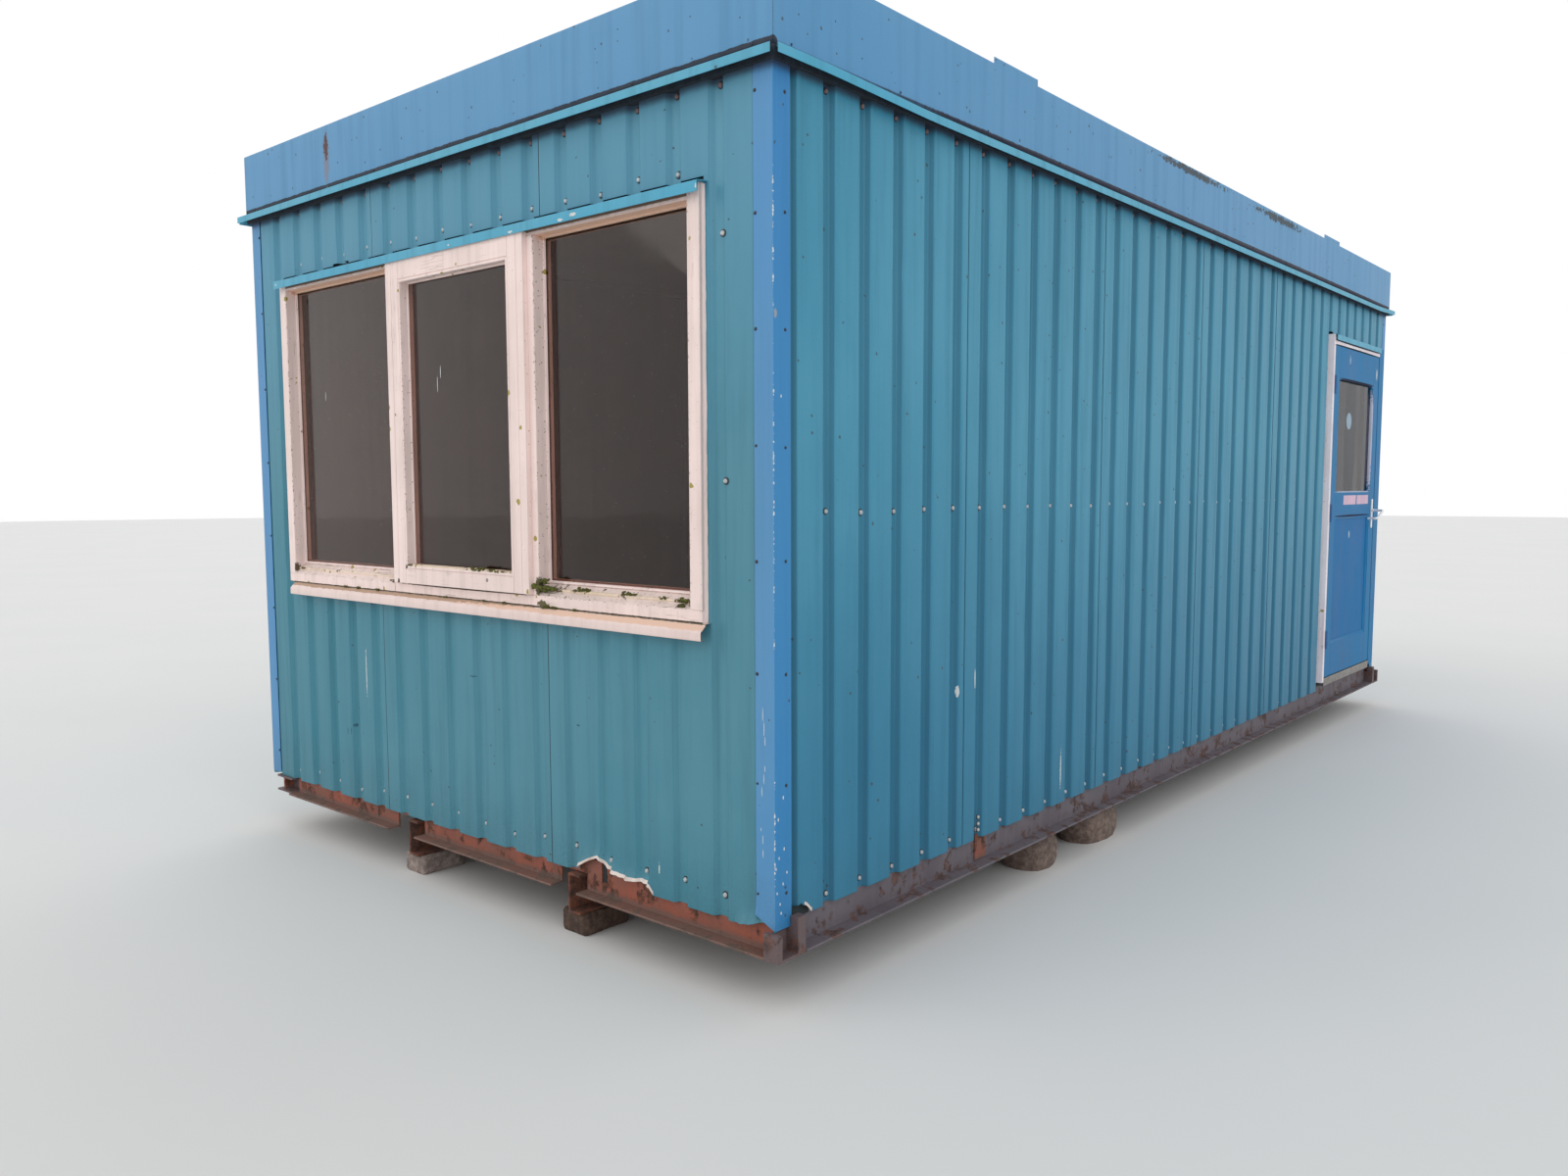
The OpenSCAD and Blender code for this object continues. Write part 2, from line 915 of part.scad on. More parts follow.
module sash_rails() {
    length = sash_w - 2 * sash_stile_w;
    x = sash_x + sash_stile_w;
    color(cream) {
        sash_member(x, sash_z, length, sash_bottom_h, 0, 1, 0, 0);
        sash_member(x, sash_z + sash_h - sash_top_h, length, sash_top_h, 0, 0, 0, 1);
    }
}

// Glass of the window
module window_pane(x, back, z, w, h) {
    translate([x, y_front + back, z])
        cube([w, glass_t, h]);
}

module window_panes() {
    sash_pane_h = sash_h - sash_bottom_h - sash_top_h;
    color(pane) {
        window_pane(left_light_x, glass_back, light_z, left_light_w, light_h);
        window_pane(right_light_x, glass_back, light_z, right_light_w, light_h);
        window_pane(
            sash_x + sash_stile_w,
            -sash_glass_out,
            sash_z + sash_bottom_h,
            sash_w - 2 * sash_stile_w,
            sash_pane_h
        );
    }
}

module window_sill() {
    color(cream)
        translate([window_x + 44, y_front, window_z])
            strip(
                window_w - 27,
                [[0, 0], [frame_out, 0], [sill_out, -sill_fall], [sill_out, -sill_h], [sill_out - 10, -sill_h]],
                -2
            );
}

module door_jambs() {
    color(blue) {
        side_box([-stop_back, door_y, floor_z], [frame_out, hinge_side, door_head_top]);
        side_box([-wall_d, door_y, floor_z], [-stop_back, hinge_side + stop_w, door_head_top]);
        side_box([-stop_back, lock_side, floor_z], [frame_out, cabin_l - wall_d, door_head_top]);
        side_box([-wall_d, lock_side - stop_w, floor_z], [-stop_back, cabin_l - wall_d, door_head_top]);
    }
}

// A length between the jambs, wider where the stops don't reach
module between_jambs(low, high, front_low, front_high) {
    side_box([-wall_d, hinge_side + stop_w, low], [-stop_back, lock_side - stop_w, high]);
    side_box([-stop_back, hinge_side, front_low], [frame_out, lock_side, front_high]);
}

module door_head() {
    color(cream)
        between_jambs(door_head_z - stop_w, door_head_top, door_head_z, door_head_top);
}

module door_threshold() {
    color(steel) {
        between_jambs(floor_z, floor_z + threshold_h, floor_z, floor_z + threshold_h);
        side_box([-skin_d, hinge_side, base_top], [frame_out, lock_side, floor_z]);
    }
}

// Part of the leaf, at its full thickness
module leaf_member(y, z, w, h) {
    translate([x_right - leaf_back, y, z])
        cube([leaf_t, w, h]);
}

module spindle_bore() {
    translate([x_right, lever_y, lever_z])
        rotate([0, 90, 0])
            cylinder(h = 4 * leaf_t, r = spindle_r + spindle_clear, center = true);
}

module door_stiles() {
    color(blue)
        difference() {
            union() {
                leaf_member(leaf_y, door_z, stile_w, leaf_h);
                leaf_member(leaf_end - stile_w, door_z, stile_w, leaf_h);
            }
            spindle_bore();
        }
}

module door_rails() {
    y = leaf_y + stile_w;
    w = leaf_w - 2 * stile_w;
    color(blue) {
        leaf_member(y, door_z, w, bottom_rail_h);
        leaf_member(y, lock_rail_z, w, lock_rail_h);
        leaf_member(y, door_top - top_rail_h, w, top_rail_h);
    }
}

module door_panel() {
    color(blue)
        translate([x_right + leaf_out - panel_back - panel_t, leaf_y + stile_w, panel_z])
            cube([panel_t, leaf_w - 2 * stile_w, panel_h]);
}

module door_glass() {
    color(pane)
        translate([x_right - door_glass_t, leaf_y + stile_w, door_glass_z])
            cube([door_glass_t, leaf_w - 2 * stile_w, door_glass_h]);
}

module handle_plates() {
    plate_z = lever_z + lever_drop - plate_h;
    color(steel)
        difference() {
            for (x = [leaf_out, -leaf_back - plate_t])
                translate([x_right + x, lever_y - plate_w / 2, plate_z])
                    cube([plate_t, plate_w, plate_h]);
            spindle_bore();
        }
}

// A bar along +X that starts at x
module bar(x, l, r) {
    translate([x, 0, 0])
        rotate([0, 90, 0])
            cylinder(h = l, r = r);
}

// A quarter bend of the lever's bar about the origin
module quarter_bend(turn) {
    rotate(turn)
        rotate_extrude(angle = 90)
            translate([lever_bend, 0])
                circle(r = lever_d / 2);
}

// The lever outside the leaf, with x counted from the face of its plate
module lever_half() {
    straight = lever_reach - lever_bend;
    bar(lever_gap, collar_l, collar_r);
    bar(lever_gap, straight - lever_gap, lever_d / 2);
    translate([straight, -lever_bend, 0])
        quarter_bend(0);
    translate([lever_reach, -lever_bend, 0])
        rotate([90, 0, 0])
            cylinder(h = lever_l, r = lever_d / 2);
    translate([straight, -lever_bend - lever_l, 0])
        quarter_bend(-90);
    translate([0, -2 * lever_bend - lever_l, 0])
        bar(lever_tip, straight - lever_tip, lever_d / 2);
}

module door_lever() {
    face = leaf_t / 2 + plate_t;
    color(steel)
        translate([x_right + leaf_out - leaf_t / 2, lever_y, lever_z])
            rotate([lever_droop, 0, 0]) {
                bar(-face - 1, 2 * face + 2, spindle_r);
                translate([face, 0, 0])
                    lever_half();
                mirror([1, 0, 0])
                    translate([face, 0, 0])
                        lever_half();
            }
}

module at_hinges() {
    for (z = [hinge_inset, (leaf_h - hinge_h) / 2, leaf_h - hinge_inset - hinge_h])
        translate([hinge_x, hinge_y, door_z + z])
            children();
}

// The fixed half of each hinge, with its pin
module hinge_pins() {
    color(steel)
        at_hinges() {
            cylinder(h = hinge_half, d = knuckle_d);
            cylinder(h = hinge_h - pin_top, r = pin_r);
            translate([-hinge_leaf_w, -door_gap / 2, 0])
                cube([hinge_leaf_w, hinge_leaf_t, hinge_half]);
        }
}

// The half of each hinge that lifts off with the leaf
module hinge_knuckles() {
    wall = (knuckle_d / 2 + pin_r + pin_clear) / 2;
    color(steel)
        at_hinges()
            translate([0, 0, hinge_h - hinge_half]) {
                difference() {
                    cylinder(h = hinge_half, d = knuckle_d);
                    translate([0, 0, -1])
                        cylinder(h = hinge_half + 2, r = pin_r + pin_clear);
                }
                translate([-hinge_leaf_w, door_gap / 2 - hinge_leaf_t, 0])
                    cube([hinge_leaf_w - wall, hinge_leaf_t, hinge_half]);
            }
}

support_blocks();
side_stones();
skid_channels();
base_side_beams();
base_end_beams();
corner_stubs();
floor_joists();
floor_deck();
front_wall_lower();
front_wall_upper();
front_wall_piers();
rear_wall();
left_wall();
right_wall();
door_lintel_wall();
front_cladding();
rear_cladding();
left_cladding();
right_cladding();
corner_trims();
roof_panel();
ceiling();
front_fascia();
rear_fascia();
left_fascia();
right_fascia();
drip_flashings();
head_flashings();
window_jambs();
window_rails();
sash_stiles();
sash_rails();
window_panes();
window_sill();
door_jambs();
door_head();
door_threshold();
door_stiles();
door_rails();
door_panel();
door_glass();
handle_plates();
door_lever();
hinge_pins();
hinge_knuckles();
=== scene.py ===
"""Looks of a portable site cabin: ribbed sheeting, timber window and door, steel base on blocks.

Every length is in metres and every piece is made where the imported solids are.
The window end faces -Y, the door side faces +X and +Z is up.
"""

from __future__ import annotations

import json
import logging
import math
import random
from collections.abc import Callable, Iterable, Sequence
from dataclasses import dataclass, field
from enum import Enum
from functools import cache

import bmesh
import bpy
from mathutils import Matrix, Vector, noise

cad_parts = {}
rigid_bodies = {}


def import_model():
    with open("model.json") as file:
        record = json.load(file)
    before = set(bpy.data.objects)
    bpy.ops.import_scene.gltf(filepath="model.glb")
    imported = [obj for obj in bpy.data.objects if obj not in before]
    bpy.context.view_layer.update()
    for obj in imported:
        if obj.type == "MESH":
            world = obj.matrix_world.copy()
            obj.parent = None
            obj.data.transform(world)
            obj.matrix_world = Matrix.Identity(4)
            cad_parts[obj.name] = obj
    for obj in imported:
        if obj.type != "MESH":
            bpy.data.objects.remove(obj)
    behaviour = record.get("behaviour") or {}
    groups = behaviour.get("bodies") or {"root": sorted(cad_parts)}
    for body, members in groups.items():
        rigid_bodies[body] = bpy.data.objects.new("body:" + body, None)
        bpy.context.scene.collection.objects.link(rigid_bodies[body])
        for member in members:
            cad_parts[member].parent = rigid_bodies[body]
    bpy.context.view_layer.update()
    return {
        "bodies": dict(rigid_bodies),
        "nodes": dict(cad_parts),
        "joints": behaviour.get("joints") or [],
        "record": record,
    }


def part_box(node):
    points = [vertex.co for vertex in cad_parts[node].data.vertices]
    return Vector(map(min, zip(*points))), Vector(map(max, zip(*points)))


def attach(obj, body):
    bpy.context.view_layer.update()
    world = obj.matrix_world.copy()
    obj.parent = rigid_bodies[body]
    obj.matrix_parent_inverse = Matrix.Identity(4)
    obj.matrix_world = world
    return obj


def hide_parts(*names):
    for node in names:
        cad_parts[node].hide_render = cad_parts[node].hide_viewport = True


LOG = logging.getLogger("site_cabin")

Line = list[tuple[float, float]]
Colour = tuple[float, float, float, float]
Triple = tuple[float, float, float]
Point = Vector | Triple
Setting = str | bool | bpy.types.NodeTree
Value = float | tuple | bpy.types.NodeSocket


def rgb(red: int, green: int, blue: int) -> Colour:
    """Turns a screen colour into a linear one.

    Args:
        red: Its red, 0 to 255.
        green: Its green, 0 to 255.
        blue: Its blue, 0 to 255.

    Returns:
        The linear colour.
    """

    def linear(part: int) -> float:
        """Returns one channel without its screen curve."""
        share = part / 255
        return share / 12.92 if share <= 0.04045 else ((share + 0.055) / 1.055) ** 2.4

    return (linear(red), linear(green), linear(blue), 1.0)


# --------------------------------------------------------------------------
# Lines, meshes and pieces
# --------------------------------------------------------------------------


def rounded(line: Line, radius: float, steps: int = 2) -> Line:
    """Rounds the inner corners of an open line.

    Args:
        line: Points of the line.
        radius: Length taken off each side of a corner.
        steps: Parts of one rounded corner.

    Returns:
        The line with curved corners.
    """
    result = [line[0]]
    for before, corner, after in zip(line, line[1:], line[2:]):
        middle = Vector(corner)
        back, ahead = Vector(before) - middle, Vector(after) - middle
        start = middle + back.normalized() * min(radius, back.length * 0.45)
        end = middle + ahead.normalized() * min(radius, ahead.length * 0.45)
        for part in parted(0.0, 1.0, steps):
            point = start.lerp(middle, part).lerp(middle.lerp(end, part), part)
            result.append((point.x, point.y))
    result.append(line[-1])
    return result


def spaced(line: Line, step: Callable[[float], float] | float) -> Line:
    """Adds points to a line so that none of its parts is longer than a step.

    Args:
        line: Points of the line.
        step: Longest part, or the longest part at a place along the line.

    Returns:
        The line with more points.
    """
    result = [line[0]]
    for (u0, v0), (u1, v1) in zip(line, line[1:]):
        limit = step((u0 + u1) / 2) if callable(step) else step
        parts = max(1, math.ceil(math.hypot(u1 - u0, v1 - v0) / limit - 1e-6))
        result += [(u0 + (u1 - u0) * i / parts, v0 + (v1 - v0) * i / parts) for i in range(1, parts + 1)]
    return result


def point_at(line: Sequence[tuple[float, float]], along: float) -> float:
    """Finds the second coordinate of a line where the first is along.

    Args:
        line: Points of the line, in order of the first coordinate.
        along: First coordinate.

    Returns:
        The second coordinate.
    """
    for (u0, v0), (u1, v1) in zip(line, line[1:]):
        if u0 <= along <= u1:
            return v0 + (v1 - v0) * (along - u0) / max(u1 - u0, 1e-9)
    return line[0][1] if along < line[0][0] else line[-1][1]


def thick(line: Line, thickness: float) -> Line:
    """Thickens the line of a folded sheet to its left.

    Args:
        line: Points of the line.
        thickness: Thickness of the sheet. It goes to the right if it is negative.

    Returns:
        The closed outline.
    """
    points = [Vector(point) for point in line]
    ways = [(after - before).normalized() for before, after in zip(points, points[1:])]
    inner = []
    for index, point in enumerate(points):
        before, after = ways[max(index - 1, 0)], ways[min(index, len(ways) - 1)]
        sides = Vector((-before.y, before.x)) + Vector((-after.y, after.x))
        inner.append(point + sides * thickness / (1 + before.dot(after)))
    return line + [(point.x, point.y) for point in reversed(inner)]


def parted(start: float, end: float, parts: int) -> list[float]:
    """Returns the ends of equal parts between two values."""
    return [start + (end - start) * index / parts for index in range(parts + 1)]


def circle(sides: int) -> Line:
    """Returns points at equal turns on a circle of radius 1."""
    turns = (2 * math.pi * index / sides for index in range(sides))
    return [(math.cos(turn), math.sin(turn)) for turn in turns]


def ripple(point: Iterable[float], scale: float) -> float:
    """Returns smooth noise between -1 and 1 at a point."""
    return noise.noise(Vector(point) * scale)


def hollow(point: Iterable[float], scale: float) -> float:
    """Returns smooth noise between 0 and 1 at a point."""
    return 0.5 + 0.5 * ripple(point, scale)


class Shape:
    """Corners and faces of one piece, gathered before it becomes an object."""

    def __init__(self) -> None:
        """Starts with nothing."""
        self.points: list[Vector] = []
        self.faces: list[tuple[int, ...]] = []
        self.kinds: list[int] = []

    def add(self, points: Iterable[Point], faces: Iterable[Sequence[int]], kind: int = 0) -> None:
        """Adds corners and the faces between them.

        Args:
            points: New corners.
            faces: Faces, counted from the first new corner.
            kind: Material slot of the faces.
        """
        first = len(self.points)
        self.points.extend(Vector(point) for point in points)
        for face in faces:
            self.faces.append(tuple(first + index for index in face))
            self.kinds.append(kind)

    def grid(self, rows: Sequence[Sequence[Point]], kind: Callable[[int, int], int | None]) -> None:
        """Adds a sheet of quads.

        Args:
            rows: Rows of equally many points.
            kind: Material slot of the quad at a row and column, or None to leave it out.
        """
        width = len(rows[0])
        first = len(self.points)
        self.add([point for row in rows for point in row], [])
        for r in range(len(rows) - 1):
            for c in range(width - 1):
                if (slot := kind(r, c)) is not None:
                    low = first + r * width + c
                    self.faces.append((low, low + 1, low + width + 1, low + width))
                    self.kinds.append(slot)

    def tube(self, rings: Sequence[Sequence[Point]], kind: int = 0, capped: bool = True) -> None:
        """Adds a body through closed rings.

        Args:
            rings: Rings of equally many points.
            kind: Material slot of the faces.
            capped: Whether both ends are closed.
        """
        count, faces = len(rings[0]), []
        for r in range(len(rings) - 1):
            for i in range(count):
                j = (i + 1) % count
                faces.append((r * count + i, r * count + j, (r + 1) * count + j, (r + 1) * count + i))
        if capped:
            faces.append(tuple(reversed(range(count))))
            faces.append(tuple((len(rings) - 1) * count + i for i in range(count)))
        self.add([point for ring in rings for point in ring], faces, kind)

    def box(self, low: Triple, high: Triple, kind: int = 0) -> None:
        """Adds a box between its lowest and its highest corner."""
        (x0, y0, z0), (x1, y1, z1) = low, high
        self.tube([[(x0, y0, z), (x1, y0, z), (x1, y1, z), (x0, y1, z)] for z in (z0, z1)], kind)

    def flake(self, middle: Triple, across: Triple, up: Triple, out: Triple) -> None:
        """Adds a thin oval flake, by its middle and its ways to the side, to the top and out of the face."""
        m, a, u, o = (Vector(way) for way in (middle, across, up, out))
        self.tube([[m + a * c + u * s + o * share for c, s in circle(24)] for share in (-1, 1)])

    def bead_ring(self, low: Triple, high: Triple, out: Triple, profile: Line) -> None:
        """Adds a moulding round an upright rectangle, mitred at its corners.

        Args:
            low: Lowest corner of the rectangle.
            high: Highest corner of the rectangle.
            out: Way the moulding stands up.
            profile: Closed outline as (towards the middle, out).
        """
        side, up, rings = Vector((abs(out[1]), abs(out[0]), 0.0)), Vector((0.0, 0.0, 1.0)), []
        for right, top in ((0, 0), (1, 0), (1, 1), (0, 1)):
            x, y, _ = high if right else low
            corner = Vector((x, y, high[2] if top else low[2]))
            inward = side * (1 - 2 * right) + up * (1 - 2 * top)
            rings.append([corner + inward * u + Vector(out) * v for u, v in profile])
        self.tube([*rings, rings[0]], capped=False)


def place(
    name: str, mesh: bpy.types.Mesh, finishes: Sequence[Finish], slot: str, node: str, body: str
) -> bpy.types.Object:
    """Puts a mesh into the scene as a piece of the cabin.

    Args:
        name: Name of the piece.
        mesh: Its mesh.
        finishes: Its finishes, by material slot.
        slot: Material slot of the record, if any; not used.
        node: Solid that it stands for, if any.
        body: Body that carries it.

    Returns:
        The new object.
    """
    piece = bpy.data.objects.new(name, mesh)
    bpy.context.scene.collection.objects.link(piece)
    for finish in finishes:
        mesh.materials.append(finish.material)
    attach(piece, body)
    if node:
        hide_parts(node)
    LOG.info("%s: %d faces, rides on %s", name, len(mesh.polygons), body)
    return piece


def build(
    name: str,
    shape: Shape,
    finishes: Sequence[Finish],
    slot: str = "",
    node: str = "",
    body: str = "cabin",
    sharp: float = 35.0,
    bevel: float = 0.0,
    closed: bool = True,
) -> bpy.types.Object:
    """Turns a gathered shape into a piece.

    Args:
        name: Name of the piece.
        shape: Its corners and faces.
        finishes: Its finishes, by material slot.
        slot: Material slot of the record, if any.
        node: Solid that it stands for, if any.
        body: Body that carries it.
        sharp: Angle in degrees from which an edge stays sharp.
        bevel: Width of its worn edges.
        closed: Whether it is closed, so that its faces can be turned outward.

    Returns:
        The new object.
    """
    mesh = bpy.data.meshes.new(name)
    mesh.from_pydata([tuple(point) for point in shape.points], [], shape.faces)
    mesh.polygons.foreach_set("material_index", shape.kinds)
    if closed:
        work = bmesh.new()
        work.from_mesh(mesh)
        bmesh.ops.remove_doubles(work, verts=work.verts, dist=1e-6)
        bmesh.ops.recalc_face_normals(work, faces=work.faces)
        work.to_mesh(mesh)
        work.free()
    finish_edges(mesh, sharp)
    piece = place(name, mesh, finishes, slot, node, body)
    if bevel:
        soften(piece, bevel)
    return piece


def finish_edges(mesh: bpy.types.Mesh, sharp: float) -> None:
    """Shades a mesh smooth.

    Args:
        mesh: The mesh.
        sharp: Angle in degrees above which an edge stays sharp.
    """
    mesh.polygons.foreach_set("use_smooth", [True] * len(mesh.polygons))
    mesh.set_sharp_from_angle(angle=math.radians(sharp))
    mesh.update()


def even_shading(piece: bpy.types.Object) -> None:
    """Weighs the normals of a piece by the size of its faces."""
    piece.modifiers.new("even shading", "WEIGHTED_NORMAL").keep_sharp = True


def soften(piece: bpy.types.Object, width: float) -> None:
    """Rounds the edges of a piece.

    Args:
        piece: The piece.
        width: Width of the rounding.
    """
    bevel = piece.modifiers.new("worn edges", "BEVEL")
    bevel.width, bevel.segments = width, 2
    bevel.limit_method, bevel.angle_limit = "ANGLE", math.radians(40)
    bevel.use_clamp_overlap = True
    even_shading(piece)


def dress_node(frame: dict, node: str, finish: Finish) -> None:
    """Gives a solid that stays visible its material.

    Args:
        frame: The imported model.
        node: Name of the solid.
        finish: Its finish.
    """
    mesh = frame["nodes"][node].data
    mesh.materials.clear()
    mesh.materials.append(finish.material)
    LOG.info("%s: dressed as %s", node, finish.name)


def dressed(
    frame: dict,
    name: str,
    node: str,
    finishes: Sequence[Finish],
    slot: str,
    body: str = "cabin",
    bevel: float = 0.002,
    sharp: float = 40.0,
    kind: Callable[[Vector], int] | None = None,
    move: Callable[[Vector], Vector] | None = None,
    cut: float | None = None,
) -> bpy.types.Object:
    """Makes a piece in the shape of a solid, with worn edges.

    Args:
        frame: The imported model.
        name: Name of the piece.
        node: Solid that it copies and stands for.
        finishes: Its finishes, by material slot.
        slot: Material slot of the record.
        body: Body that carries it.
        bevel: Width of its worn edges.
        sharp: Angle in degrees from which an edge stays sharp.
        kind: Material slot of a face, by the face's middle.
        move: New place of a corner, by its place.
        cut: Place along Y where its faces are parted, so that both sides can differ.

    Returns:
        The new object.
    """
    work = bmesh.new()
    work.from_mesh(frame["nodes"][node].data)
    bmesh.ops.remove_doubles(work, verts=work.verts, dist=1e-5)
    bmesh.ops.dissolve_limit(work, angle_limit=math.radians(1), verts=work.verts, edges=work.edges)
    if cut is not None:
        every = [*work.verts, *work.edges, *work.faces]
        bmesh.ops.bisect_plane(work, geom=every, plane_co=(0.0, cut, 0.0), plane_no=(0.0, 1.0, 0.0))
    mesh = bpy.data.meshes.new(name)
    work.to_mesh(mesh)
    work.free()
    for polygon in mesh.polygons:
        polygon.material_index = kind(polygon.center) if kind else 0
    if move:
        for corner in mesh.vertices:
            corner.co = move(corner.co)
    finish_edges(mesh, sharp)
    piece = place(name, mesh, finishes, slot, node, body)
    if bevel:
        soften(piece, bevel)
    return piece


# --------------------------------------------------------------------------
# Shader nodes
# --------------------------------------------------------------------------

ZERO = (0.0, 0.0, 0.0)


class Sketch:
    """Adds nodes to one node tree and links them."""

    def __init__(self, tree: bpy.types.NodeTree) -> None:
        """Starts on a tree."""
        self.tree = tree

    def add(self, kind: str, inputs: dict[str | int, Value], **settings: Setting) -> bpy.types.Node:
        """Adds a node.

        Args:
            kind: Blender's name for the node.
            inputs: Values or sockets, by input.
            **settings: Properties of the node.

        Returns:
            The new node.
        """
        node = self.tree.nodes.new(kind)
        for name, setting in settings.items():
            setattr(node, name, setting)
        for name, value in inputs.items():
            self.feed(node.inputs[name], value)
        return node

    def feed(self, socket: bpy.types.NodeSocket, value: Value) -> None:
        """Links a socket to another, or sets its value.

        Args:
            socket: The socket.
            value: The other socket, or the value.
        """
        if isinstance(value, bpy.types.NodeSocket):
            self.tree.links.new(value, socket)
        else:
            socket.default_value = value

    def math(self, operation: str, *values: Value, clamp: bool = False) -> bpy.types.NodeSocket:
        """Returns the result of a Math node."""
        return self.add("ShaderNodeMath", dict(enumerate(values)), operation=operation, use_clamp=clamp).outputs[0]

    def times(self, first: Value, second: Value) -> bpy.types.NodeSocket:
        """Returns the product of two values."""
        return self.math("MULTIPLY", first, second)

    def plus(self, first: Value, second: Value) -> bpy.types.NodeSocket:
        """Returns the sum of two values."""
        return self.math("ADD", first, second)

    def minus(self, first: Value, second: Value) -> bpy.types.NodeSocket:
        """Returns the difference of two values."""
        return self.math("SUBTRACT", first, second)

    def vector(self, operation: str, *values: Value) -> bpy.types.NodeSocket:
        """Returns the vector, or the length, that a Vector Math node makes."""
        node = self.add("ShaderNodeVectorMath", dict(enumerate(values)), operation=operation)
        return node.outputs["Value" if operation == "LENGTH" else "Vector"]

    def ramp(
        self, value: Value, low: Value, high: Value, to_low: Value = 0.0, to_high: Value = 1.0
    ) -> bpy.types.NodeSocket:
        """Returns a value mapped smoothly from low..high to another range."""
        inputs = {"Value": value, "From Min": low, "From Max": high, "To Min": to_low, "To Max": to_high}
        return self.add("ShaderNodeMapRange", inputs, interpolation_type="SMOOTHSTEP").outputs["Result"]

    def mix(self, share: Value, first: Value, second: Value) -> bpy.types.NodeSocket:
        """Returns a colour between two colours."""
        return self.add("ShaderNodeMix", {0: share, 6: first, 7: second}, data_type="RGBA").outputs[2]

    def noise(
        self, vector: Value, scale: Value, detail: float, rough: float = 0.5, warp: float = 0.0
    ) -> bpy.types.NodeSocket:
        """Returns a noise between 0 and 1."""
        inputs = {"Vector": vector, "Scale": scale, "Detail": detail, "Roughness": rough, "Distortion": warp}
        return self.add("ShaderNodeTexNoise", inputs).outputs["Fac"]


class Effect(Sketch):
    """A shader node group that works on a place on the surface."""

    def __init__(self, name: str, inputs: dict[str, Value], *outputs: str) -> None:
        """Starts the group.

        Args:
            name: Name of the effect.
            inputs: Default values, by input.
            *outputs: Names of its masks and values, and Colour for a colour.
        """
        super().__init__(bpy.data.node_groups.new(name, "ShaderNodeTree"))
        for label, value in {"Vector": ZERO, **inputs}.items():
            kind = "Float" if isinstance(value, float) else "Vector" if len(value) == 3 else "Color"
            socket = self.tree.interface.new_socket(name=label, in_out="INPUT", socket_type="NodeSocket" + kind)
            socket.default_value = value
        for label in outputs:
            kind = "Color" if label == "Colour" else "Float"
            self.tree.interface.new_socket(name=label, in_out="OUTPUT", socket_type="NodeSocket" + kind)
        self.given = self.tree.nodes.new("NodeGroupInput").outputs
        self.made = self.tree.nodes.new("NodeGroupOutput").inputs
        self.place = self.given["Vector"]

    def __getitem__(self, name: str) -> bpy.types.NodeSocket:
        """Returns an input of the group."""
        return self.given[name]

    def puts(self, **results: Value) -> bpy.types.NodeTree:
        """Links the results to the outputs.

        Args:
            **results: The results, by output.

        Returns:
            The finished group.
        """
        for name, value in results.items():
            self.feed(self.made[name], value)
        return self.tree


@cache
def weather_group() -> bpy.types.NodeTree:
    """Makes the effect: large soft patches, runs down the face and a fine grain.

    Returns:
        The effect's node group.
    """
    e = Effect("Weather", {"Patch Scale": 1.2, "Run Scale": 22.0}, "Patches", "Runs", "Fine")
    large = e.noise(e.place, e["Patch Scale"], 4.0, 0.55)
    runs = e.noise(e.vector("MULTIPLY", e.place, (1.0, 1.0, 0.045)), e["Run Scale"], 5.0, 0.62)
    fine = e.noise(e.place, 160.0, 4.0, 0.65)
    return e.puts(Patches=e.ramp(large, 0.34, 0.68), Runs=e.ramp(runs, 0.42, 0.74), Fine=fine)


@cache
def speck_group() -> bpy.types.NodeTree:
    """Makes the effect: small scattered spots of dirt or lost paint.

    Returns:
        The effect's node group.
    """
    e = Effect("Specks", {"Scale": 60.0, "Cover": 0.3, "Size": 0.25}, "Mask")
    cells = e.add("ShaderNodeTexVoronoi", {"Vector": e.place, "Scale": e["Scale"]}).outputs
    chosen = e.add("ShaderNodeSeparateColor", {0: cells["Color"]}).outputs
    ragged = e.math("MULTIPLY_ADD", e.noise(e.place, 300.0, 2.0), 0.35, -0.17)
    near = e.math("LESS_THAN", e.plus(cells["Distance"], ragged), e.times(e["Size"], chosen["Green"]))
    return e.puts(Mask=e.times(near, e.math("LESS_THAN", chosen["Red"], e["Cover"])))


@cache
def mark_group() -> bpy.types.NodeTree:
    """Makes the effect: a ragged mark round one place, such as a scratch, a stain or a bare spot.

    Returns:
        The effect's node group.
    """
    e = Effect("Mark", {"Middle": ZERO, "Size": (0.01, 0.01, 0.01), "Ragged": 0.4, "Grain": 90.0}, "Mask")
    share = e.vector("DIVIDE", e.vector("SUBTRACT", e.place, e["Middle"]), e["Size"])
    rough = e.minus(e.noise(e.place, e["Grain"], 4.0, 0.7), 0.5)
    edge = e.plus(e.vector("LENGTH", share), e.times(rough, e.times(e["Ragged"], 4.0)))
    return e.puts(Mask=e.ramp(edge, 0.85, 1.0, 1.0, 0.0))


